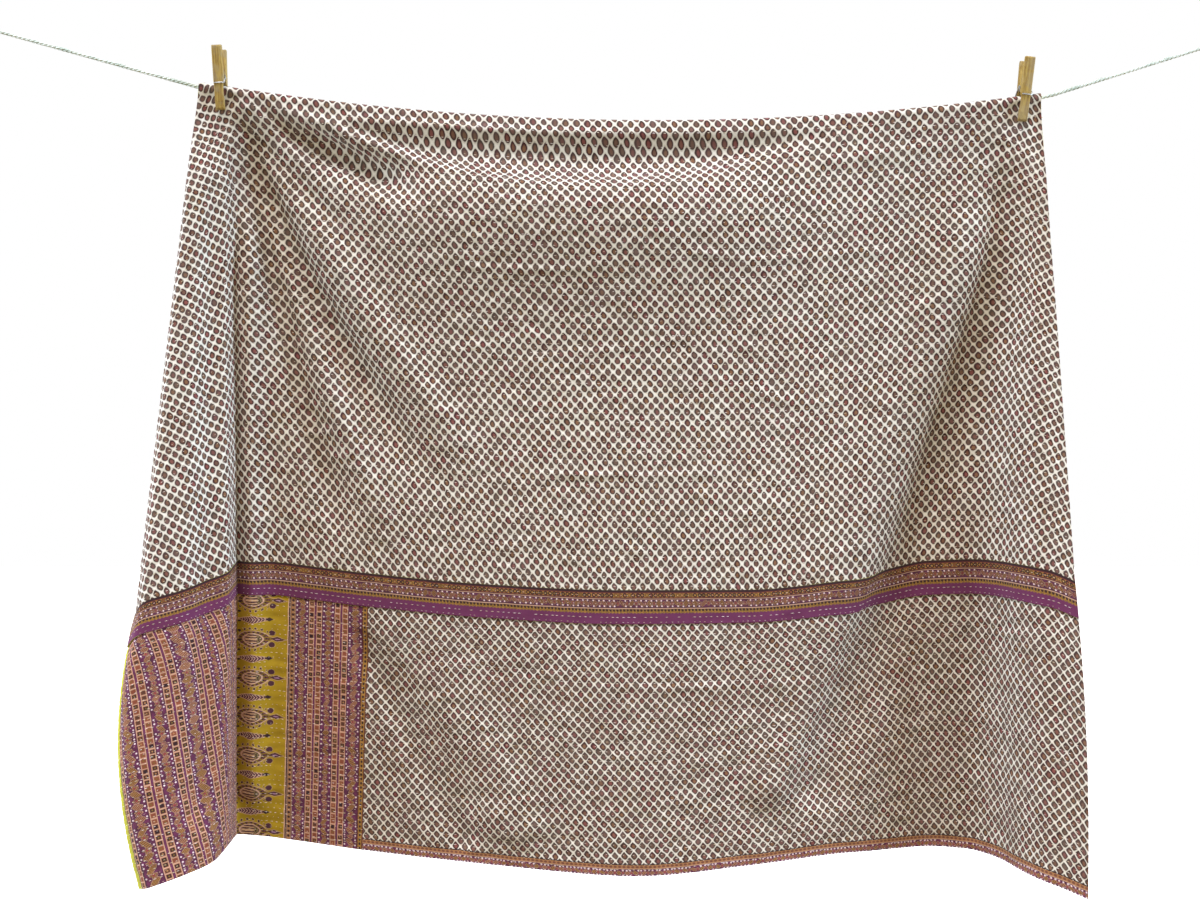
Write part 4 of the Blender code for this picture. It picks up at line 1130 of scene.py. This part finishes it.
def medallions(ink, x, down):
    """Large leaf-shaped medallions with a spear and two buds, and a slim spray between them, on mustard."""
    wobble = 2.0 * ink.wander(x, down, 0.22)
    x = x + 1.6 * ink.wander(down, x, 0.22, z=5.0)
    y = abs(repeat(down, MEDALLION_EVERY, MEDALLION_SHIFT) + wobble)
    up = abs(repeat(down, MEDALLION_EVERY, MEDALLION_SHIFT + MEDALLION_EVERY / 2) + wobble)
    body = abs((x - 25) / 25) ** 1.5 + (y / 13.0) ** 2.0
    spear = abs(x - 60) / 14 + y / 4.2
    buds = ((x - 52) / 5.0) ** 2 + ((y - 8.6) / 4.2) ** 2
    drawn = body.least(spear).least(buds).least(abs(x - 47) / 11 + y / 4.4)
    leafy = (x * 1.5 + 1.8 * (y * 1.3).sine()).sine().rise(0.0, 0.6)
    beads = body.inside(0.56, 0.92, 0.07) * ((y * 1.7).angle(x - 25) * 17.0).cosine().rise(-0.5, 0.1)
    inner = ink.cover(paint(70, 38, 40),
                      ((y * 1.7 + 0.5).sine().rise(-0.2, 0.5), ink.mix(0.35, PALE, MUSTARD)),
                      (x.rise(30, 33), ink.mix(leafy, paint(120, 98, 60), DARK)),
                      (1 - x.rise(13, 15), ink.mix(leafy, paint(96, 50, 66), paint(170, 128, 96))),
                      (body.inside(0.40, 0.50, 0.05), PALE),
                      (body.rise(0.50, 0.56), ink.mix(0.45, MUSTARD, DARK)),
                      (beads, ink.mix(leafy, DARK, paint(104, 50, 62))))
    spray = abs(x - 26) / 27 + (up / (6.2 - abs(x - 22) * 0.12)) ** 2
    spray_fill = ink.mix((x * 1.5 + up * 1.6).sine().rise(0.3, 0.8), paint(72, 36, 46),
                         ink.mix(leafy, PALE, PLUM))
    dot_x, around, in_dots = repeat(x, 8.4), y - (16.2 - 0.014 * (x - 25) * (x - 25)), x.inside(3, 46, 0.5)
    return ink.cover(paint(138, 108, 12), (ink.noise(ink.point(x, down), 0.07, 3.0), paint(172, 140, 22)),
                     (1 - drawn.rise(0.98, 1.08), ink.mix(drawn.rise(0.84, 0.92) * 0.7, inner, PALE)),
                     ((1 - spear.rise(0.6, 0.9)).most(1 - buds.rise(0.6, 0.9)), paint(66, 32, 42)),
                     (spot(x - 60, y, 4, 0.9), paint(156, 116, 140)),
                     ((1 - spray.rise(0.98, 1.15)) * 0.7, PALE),
                     (1 - spray.rise(0.74, 0.90), spray_fill),
                     (1 - (abs(x - 48) / 6 + up / 3.2).rise(0.8, 1.1), DARK),
                     (spot(dot_x, around, 2.3, 2.3) * in_dots * 0.6, PALE),
                     (spot(dot_x, around, 1.6, 1.6) * in_dots, DARK),
                     (spot(x - 3.5, repeat(down, MEDALLION_EVERY / 4, EDGE_DOT_SHIFT), 3.2, 1.5), DARK),
                     (x.rise(74.2, 75.0), PALE))


print("medallions every", MEDALLION_EVERY, "mm")

# %% The lower cloth's ground and hem border
HEM_LINE, HEM_TAN, HEM_PALE, HEM_VINE, HEM_VINE_MIDDLE = 17.0, 15.5, 10.6, 9.6, 4.4


def hemmed_ground(ink, across, down):
    """The ground, and up from the hem a vine, a pale rule and a row of tan dots under a dark line."""
    up = HEM_DOWN - down + 1.0 * ink.wander(across, down, 0.06)
    from_vine = up - HEM_VINE_MIDDLE
    dots = ink.mix(spot(repeat(across, 6.2), up - 13, 2.2, 1.6), TAN, paint(116, 70, 54))
    ground = bud_ground(ink, across, down, LOWER_PITCH, (1.0, 0.97), 4.0, 0.81, 5.0)
    return ink.cover(vine(ink, across, from_vine, 3.2, 9.0),
                     pale_dots(ink, across, abs(from_vine) - 3.6, 5.3, 4.0),
                     (up.rise(HEM_VINE - 0.3, HEM_VINE + 0.1), DARK),
                     (up.rise(HEM_VINE + 0.1, HEM_VINE + 0.5), PALE),
                     (up.past(HEM_PALE, 0.2), dots),
                     (up.past(HEM_TAN, 0.2), DARK),
                     (up.past(HEM_LINE, 0.3), ground))


print("hem border", HEM_LINE, "mm deep")

# %% [markdown]
# ## The end panel
# Its stripes are listed by width from the cloth's left edge. A running sum of steps turns the place across
# the panel into the start, the width and the kind of the stripe it falls in, and each kind has its own
# pattern, laid down the cloth.

# %% Stripes of the end panel
SELVAGE, PLAIN_DARK, BOX_ROW, CHAIN, MEDALLIONS, DOT_ROW, END_LINE, GROUND = range(8)
PAIR = ((9.4, BOX_ROW), (1.9, CHAIN), (9.4, BOX_ROW))
STRIPES = ((10, SELVAGE), (1.5, PLAIN_DARK), (8, BOX_ROW), (0.6, PLAIN_DARK), (21, CHAIN), *PAIR,
           (18, CHAIN), *PAIR, (24, CHAIN), *PAIR, (14, CHAIN), *PAIR, (22, CHAIN), *PAIR,
           (76, MEDALLIONS), (2, PLAIN_DARK), (8, DOT_ROW), (19, CHAIN), *PAIR, (17.5, CHAIN), *PAIR,
           (20, CHAIN), (9, END_LINE), (9999, GROUND))
WIDEST, THIN_CHAIN = 100, 4     # stripes; a thinner chain is plain plum
print(len(STRIPES), "stripes,", sum(stripe[0] for stripe in STRIPES[:-1]), "mm")

# %% What the narrow stripes carry
def chain_stripe(ink, x, half, width, down):
    from_middle = abs(x - half)
    return ink.cover(vine(ink, down, x - half, (half - 3.9).most(1.0), width),
                     pale_dots(ink, down + width * 7, from_middle - (half - 2.1), 7.0, width),
                     (from_middle.rise(half - 0.9, half - 0.5), paint(72, 30, 56)),
                     (width < THIN_CHAIN, PLUM))


def dot_stripe(ink, x, half, down):
    from_middle = abs(x - half)
    return ink.cover(TAN, (spot(repeat(down, 7.0), x - half, 1.9, 1.9), DARK),
                     (from_middle.rise(2.4, 2.8), DARK), (from_middle.rise(3.2, 3.6), PALE))


def end_stripe(ink, x, down):
    from_middle = x - 4.5
    return ink.cover(GOLD, (spot(repeat(down, 6.4), from_middle, 2.0, 1.5), DARK),
                     (abs(from_middle).rise(2.4, 2.9), paint(94, 50, 38)))


print("narrow stripes ready")

# %% The end panel and the lower cloth
RIM_WIDTH = 6.5                 # of the backing cloth that is turned over the left edge

ink, across, down = cotton("panelled_cotton", 0.9)
stripe_place, from_edge = ink.cloth_place("Panel")
wavy = stripe_place + 0.9 * ink.wander(stripe_place, down, 0.05)
start, (width, kind), reached = 0.0, STRIPES[0], 0.0
for (before, old_kind), (after, new_kind) in zip(STRIPES, STRIPES[1:]):
    reached += before
    passed = wavy > reached
    start = passed * before + start
    width = passed * (min(after, WIDEST) - min(before, WIDEST)) + width
    kind = passed * (new_kind - old_kind) + kind
x, half = wavy - start, width * 0.5
patterns = {
    SELVAGE: ink.mix(ink.noise(ink.point(x, down), 0.1).rise(0.45, 0.65) * 0.5, LIME, MUSTARD),
    PLAIN_DARK: DARK,
    BOX_ROW: boxes(ink, down + start * 3, x, width),
    CHAIN: chain_stripe(ink, x, half, width, down),
    DOT_ROW: dot_stripe(ink, x, half, down),
    END_LINE: end_stripe(ink, x, down),
    MEDALLIONS: medallions(ink, x, down),
    GROUND: hemmed_ground(ink, across, down),
}
colour = ink.cover(DARK, *((kind.equals(float(number), 0.5), pattern)
                           for number, pattern in patterns.items()))
rim = from_edge + 0.8 * ink.wander(0.0, down, 0.1, 1.0)
colour = ink.cover(colour, (1 - rim.rise(RIM_WIDTH, RIM_WIDTH + 0.8), DARK),
                   (1 - rim.rise(RIM_WIDTH - 0.4, RIM_WIDTH), LIME))
lower_paint = woven(ink, across, down, colour)
print("lower cloth printed with", len(ink.tree.nodes), "nodes")

# %% [markdown]
# ## The quilt's cloths
# The upper cloth is one length that runs from the hem at the back, over the line, to the printed band. It
# is made as two sheets that meet over the line, so each can carry a sharp pattern. The band lies a little
# proud over the seam, and the lower cloth comes out from under it.

# %% Upper cloth, band and lower cloth
BAND_LIFT = 0.9
upper_front, front_face = sheet("upper_cloth_front", front_middle, front_relief, front_ripple,
                                {"Print": (front_across, front_down)}, 2, (front_paint, backing_paint))
upper_back, back_face = sheet("upper_cloth_back", back_middle, back_relief, back_ripple,
                              {"Print": (back_across, back_down)}, 2, (front_paint, backing_paint))
band, band_face = sheet("printed_band", band_middle, band_relief, band_ripple,
                        {"Print": (band_across, band_down - BAND_DOWN)}, 5, (band_paint, backing_paint),
                        BAND_LIFT)
lower_cloth, lower_face = sheet("lower_cloth", lower_middle, lower_relief, lower_ripple,
                                {"Print": (lower_across, lower_down), "Panel": (panel_across, panel_run)}, 2,
                                (lower_paint, backing_paint))

# %% [markdown]
# ## Running stitches
# The rows of stitching are real thread: each stitch is a small spindle of pale cotton, with a gap after it
# where the thread runs behind the cloth. A Geometry Nodes tree walks along every stitched row, shifts each
# row by its own phase, makes every stitch a little different and drops a few. The deep furrows carry long,
# firm stitches, and the shallow furrows between them carry shorter ones.

# %% A tree that sews along rows
def running_stitch_tree():
    tree = Tree("running_stitch", {"Pitch": 0.0078, "Stitch Length": 0.0046, "Thread": 0.0011,
                                   "Unevenness": 0.0013, "Missing": 0.1, "Seed": 3})
    given = tree.given

    def chance(low, high, which):
        """A random number for each stitch."""
        number = tree.out("GeometryNodeInputIndex")
        return tree.out("FunctionNodeRandomValue", {"data_type": "FLOAT"},
                        {2: low, 3: high, "ID": number, "Seed": given("Seed") + which}, 1)

    def named(name):
        return tree.out("GeometryNodeInputNamedAttribute", {"data_type": "FLOAT"}, {"Name": name})

    points, along_row, turned = tree.out("GeometryNodeCurveToPoints", {"mode": "EVALUATED"},
                                         {"Curve": tree.every(given("Pitch"), tree.paths)},
                                         ("Points", "Tangent", "Rotation"))
    shift = named("phase") * given("Pitch") + chance(-1.0, 1.0, 1.0) * given("Unevenness")
    moved = tree.out("GeometryNodeSetPosition", (),
                     {"Geometry": points, "Offset": tree.vectors("SCALE", along_row, shift)})
    dropped = chance(0.0, 1.0, 2.0) < given("Missing")
    size = tree.point(given("Thread"), given("Thread") * named("firm"),
                      given("Stitch Length") * (named("firm") * chance(0.8, 1.2, 3.0)))
    spindle = tree.out("GeometryNodeMeshUVSphere", (), {"Segments": 4, "Rings": 2, "Radius": 0.5})
    sewn = tree.out("GeometryNodeInstanceOnPoints", (),
                    {"Points": moved, "Instance": spindle, "Rotation": turned, "Scale": size})
    return tree.end(tree.out("GeometryNodeDeleteGeometry", {"domain": "INSTANCE"},
                             {"Geometry": sewn, "Selection": dropped}))


running_stitch = running_stitch_tree()

# %% Which rows are stitched
FIRM, FINE = 1.0, 0.62          # sizes of stitches
END_CLEAR, ROW_SEED = 4, 5      # columns kept clear at a row's end
BAND_FIRM_ROWS, BAND_FINE_ROWS, ROWS_UNDER_BAND = (16,), (3, 8, 19), 2
random = np.random.default_rng(ROW_SEED)


def stitched_rows(name, face, firm_rows, fine_rows=()):
    """A mesh of paths along some rows of a face."""
    rows = [(row, FIRM) for row in firm_rows] + [(row, FINE) for row in fine_rows]
    paths = [face[row, 1:-END_CLEAR] for row, _ in rows]
    count = face.shape[1] - 1 - END_CLEAR
    return path_mesh(name, paths, phase=np.repeat(random.uniform(0, 1, len(rows)), count),
                     firm=np.repeat([size for _, size in rows], count))


neck_end = TURN_STEPS + NECK_STEPS
hidden = neck_end + int((BAND_DOWN - ROWS_UNDER_BAND - neck_down) / ROW_STEP)
front_rows = stitched_rows("front_rows", front_face, range(TURN_STEPS + STITCH_ROWS, hidden, STITCH_ROWS),
                           range(neck_end + STITCH_ROWS // 2, hidden, STITCH_ROWS))
back_rows = stitched_rows("back_rows", back_face,
                          range(len(back_face) - 1 - TURN_STEPS - STITCH_ROWS, 1, -STITCH_ROWS))
first_deep = int(round(-lower_start / ROW_STEP)) % STITCH_ROWS
last_lower = len(lower_face) - 1
lower_rows = stitched_rows("lower_rows", lower_face, range(first_deep, last_lower, STITCH_ROWS),
                           range((first_deep + 2) % STITCH_ROWS + STITCH_ROWS, last_lower, STITCH_ROWS))
band_rows = stitched_rows("band_rows", band_face, BAND_FIRM_ROWS, BAND_FINE_ROWS)
all_rows = (front_rows, back_rows, lower_rows, band_rows)
print("steps along stitched rows:", [len(paths.edges) for paths in all_rows])

# %% Thread and stitches
thread = Finish("stitching_thread", roughness=0.75, sheen=0.2)
where = thread.place()
colour = thread.mix(thread.noise(where, 34).rise(0.4, 0.62), paint(232, 216, 206), paint(206, 186, 150))
thread_paint = thread.finish(colour, thread.noise(where, 1400), 0.0003)
sewn_front, sewn_back, sewn_lower, sewn_band = [
    grow(name, running_stitch, rows, material=thread_paint)
    for name, rows in (("stitches_front", front_rows), ("stitches_back", back_rows),
                       ("stitches_lower", lower_rows), ("stitches_band", band_rows))]

for piece, sewn, node, flat_length, slot_name, rests in (
        (upper_front, sewn_front, "upper_panel", 0.73, "printed_cotton", "line_rope"),
        (upper_back, sewn_back, "upper_panel", 1.05, "printed_cotton", "line_rope"),
        (band, sewn_band, "upper_panel", 0.047, "panelled_cotton", "upper_cloth_front"),
        (lower_cloth, sewn_lower, "lower_panel", 0.36, "panelled_cotton", "upper_cloth_front")):
    belong(piece, node, slot_name)
    belong(sewn, node, slot_name)
    print(piece.name, "lies on", rests)

# %% [markdown]
# ## Spring pegs
# Each peg is two legs of split softwood and one spring of galvanised wire. The legs keep the solid model's
# shape and get a weathered wood: fine grain along the leg, grey where rain has washed it, and darker in the
# pores. The spring is made again as one smooth, round wire on the solid's own path.

# %% Wood and metal
def weathered_wood(name, lean):
    """Softwood whose grain runs along a leg that leans by some degrees."""
    wood = Finish(name, roughness=0.75, specular=0.3)
    where = wood.place()
    turned = wood.out("ShaderNodeMapping", {"vector_type": "TEXTURE"},
                      {"Vector": where, "Rotation": (0, radians(lean), 0), "Scale": (1, 1, 24)})
    grain, rings = wood.noise(turned, 1500, 3), wood.noise(turned, 330, 2, 0.4)
    colour = wood.cover(paint(172, 144, 74), (rings.rise(0.35, 0.65), paint(142, 112, 50)),
                        (grain.rise(0.52, 0.66) * 0.6, paint(98, 72, 36)),
                        (wood.noise(where, 60, 3).rise(0.42, 0.62) * 0.35, paint(150, 140, 118)))
    return wood.finish(colour, grain * 0.6 + rings * 0.4, 0.0003, 0.7, Roughness=0.66 + 0.2 * grain)


def worn_metal(name, bright, dull, stain):
    """Zinc-coated steel with dull clouds and a few stains."""
    metal = Finish(name, metallic=1.0)
    where = metal.place()
    clouds, stained = metal.noise(where, 70, 3), metal.noise(where, 130, 4).rise(0.56, 0.68)
    colour = metal.cover(bright, (clouds.rise(0.35, 0.65), dull), (stained * 0.6, stain))
    return metal.finish(colour, metal.noise(where, 900, 2), 0.0002, 0.4,
                        Roughness=0.32 + 0.25 * clouds + 0.3 * stained)


print("wood and metal ready")

# %% Legs, plates and screws
wire_paint = worn_metal("spring_wire", paint(176, 176, 172), paint(132, 130, 124), paint(118, 84, 58))
plate_paint = worn_metal("plate_metal", paint(170, 172, 174), paint(120, 122, 124), paint(104, 74, 54))
for side, _, _, lean in PEGS:
    wood_paint = weathered_wood(side + "_peg_wood", lean)
    for part_paint, parts in ((wood_paint, ("peg_front_leg", "peg_back_leg")),
                              (plate_paint, ("plate", "screw_upper", "screw_lower"))):
        for part in parts:
            bpy.data.objects[f"{side}_{part}"].material_slots[0].material = part_paint
print("legs, plates and screws painted")

# %% A tree that draws wire
def wire_tree():
    tree = Tree("round_wire", {"Diameter": 0.0018, "Smoothness": 6})
    path = tree.out("GeometryNodeCurveSplineType", {"spline_type": "CATMULL_ROM"}, {"Curve": tree.paths})
    path = tree.out("GeometryNodeSetSplineResolution", (),
                    {"Geometry": path, "Resolution": tree.given("Smoothness")})
    return tree.end(tree.tube(path, tree.given("Diameter") * 0.5, 10))


round_wire = wire_tree()

# %% The springs' path, as in the solid model (millimetres, from a peg's tip)
PEG_HALF_WIDTH, WIRE, WIRE_HEIGHT, WIRE_REACH = 7.0, 1.8, 37, 14.6
COIL_HEIGHT, COIL_RADIUS, SPRING_TURNS, SPRING_STEPS, SPRING_ENDS = 47.5, 3.2, 4, 12, 0.35 * pi


def spring_path(peg_x, bite, lean):
    side = PEG_HALF_WIDTH + WIRE / 2 + GAP
    arm = [(-PEG_HALF_WIDTH + 1, -WIRE_REACH, WIRE_HEIGHT), (0, -WIRE_REACH, WIRE_HEIGHT),
           (PEG_HALF_WIDTH - 1, -WIRE_REACH, WIRE_HEIGHT), (side, -WIRE_REACH + 1.6, WIRE_HEIGHT + 0.4),
           (side, -0.7 * WIRE_REACH, WIRE_HEIGHT + 5)]
    helix = []
    for share in np.linspace(0, 1, SPRING_TURNS * SPRING_STEPS + 1):
        turn = (2 * pi * SPRING_TURNS + 2 * SPRING_ENDS) * share - SPRING_ENDS
        helix.append((side * (1 - 2 * share), -COIL_RADIUS * cos(turn),
                      COIL_HEIGHT + COIL_RADIUS * sin(turn)))
    other = [(-x, -y, z) for x, y, z in reversed(arm)]
    place_on_line = (Matrix.Translation((peg_x, 0, -float(line_drop(peg_x))))
                     @ Matrix.Rotation(radians(lean), 4, "Y") @ Matrix.Translation((0, 0, -bite)))
    return [tuple(place_on_line @ Vector(point)) for point in arm + helix + other]


for side, peg_x, bite, lean in PEGS:
    path = path_mesh(side + "_spring_path", [spring_path(peg_x, bite, lean)])
    spring = grow(f"{side}_spring_wire", round_wire, path, material=wire_paint)
    belong(spring, f"{side}_peg_spring", "spring_wire")

# %% [markdown]
# ## The hitches
# At each end the rope goes through the plate's eye and back along itself, and a close binding of cord holds
# the two parts together. The loop is laid rope, made by the same tree as the line, and the binding is one
# cord wound round it.

# %% Paths of a hitch (millimetres from the middle of the eye)
EYE_RADIUS, HITCH_RADIUS, HITCH_END = 11, 5.7, 38
HITCH_LEGS = ((19, 5.2), (27, 3.7), (34, 2.9))           # along the line, off its middle
LOOP_STEPS, TIP_STEPS = 13, 9
BINDING_CORD, BINDING_RADIUS, BINDING_STEPS, BINDING_TAPER = 1.5, 6.3, 14, 0.9


def hitch_paths(side):
    """The closed loop round the eye, the winding of the binding, and the core inside it."""
    eye, way = end_frame(side)
    across_line = Vector((0, 1, 0))
    up = across_line.cross(way)
    end_radius = HITCH_LEGS[-1][1]
    loop = [(along_it, -off) for along_it, off in HITCH_LEGS]
    loop += [(HITCH_END + end_radius * sin(a), -end_radius * cos(a))
             for a in np.linspace(0, pi, TIP_STEPS)[1:-1]]
    loop += reversed(HITCH_LEGS)
    loop += [(EYE_RADIUS - HITCH_RADIUS * sin(a), HITCH_RADIUS * cos(a))
             for a in np.linspace(0, pi, LOOP_STEPS)]
    run = BINDING_END - BINDING_START - BINDING_CORD
    turns = run / BINDING_CORD
    winding = []
    for share in np.linspace(0, 1, int(turns * BINDING_STEPS)):
        angle = 2 * pi * turns * share
        radius = BINDING_RADIUS - BINDING_TAPER * abs(2 * share - 1) ** 6
        winding.append(eye + way * (BINDING_START + BINDING_CORD / 2 + run * share)
                       + (across_line * cos(angle) + up * sin(angle)) * radius)
    return ([eye + way * a + across_line * o for a, o in loop], winding,
            [eye + way * a for a in (BINDING_START + 1, BINDING_END - 1)])


print("binding", BINDING_END - BINDING_START, "mm long")

# %% Loop and binding
binding_paint = rope_finish("binding_cord", paint(120, 112, 92))
for side in ("left", "right"):
    loop, winding, core = hitch_paths(side)
    for name, tree, path, closed, diameter, others in (
            ("loop", laid_rope, loop, True, LINE_DIAMETER, {"material": rope_paint}),
            ("binding", round_wire, winding, False, BINDING_CORD, {"material": binding_paint}),
            ("binding_core", round_wire, core, False, 2 * BINDING_RADIUS - 1,
             {"material": binding_paint, "smoothness": 1})):
        path = path_mesh(f"{side}_{name}_path", [path], closed)
        belong(grow(f"{side}_{name}", tree, path, diameter=diameter * MM, **others), f"{side}_hitch", "rope")
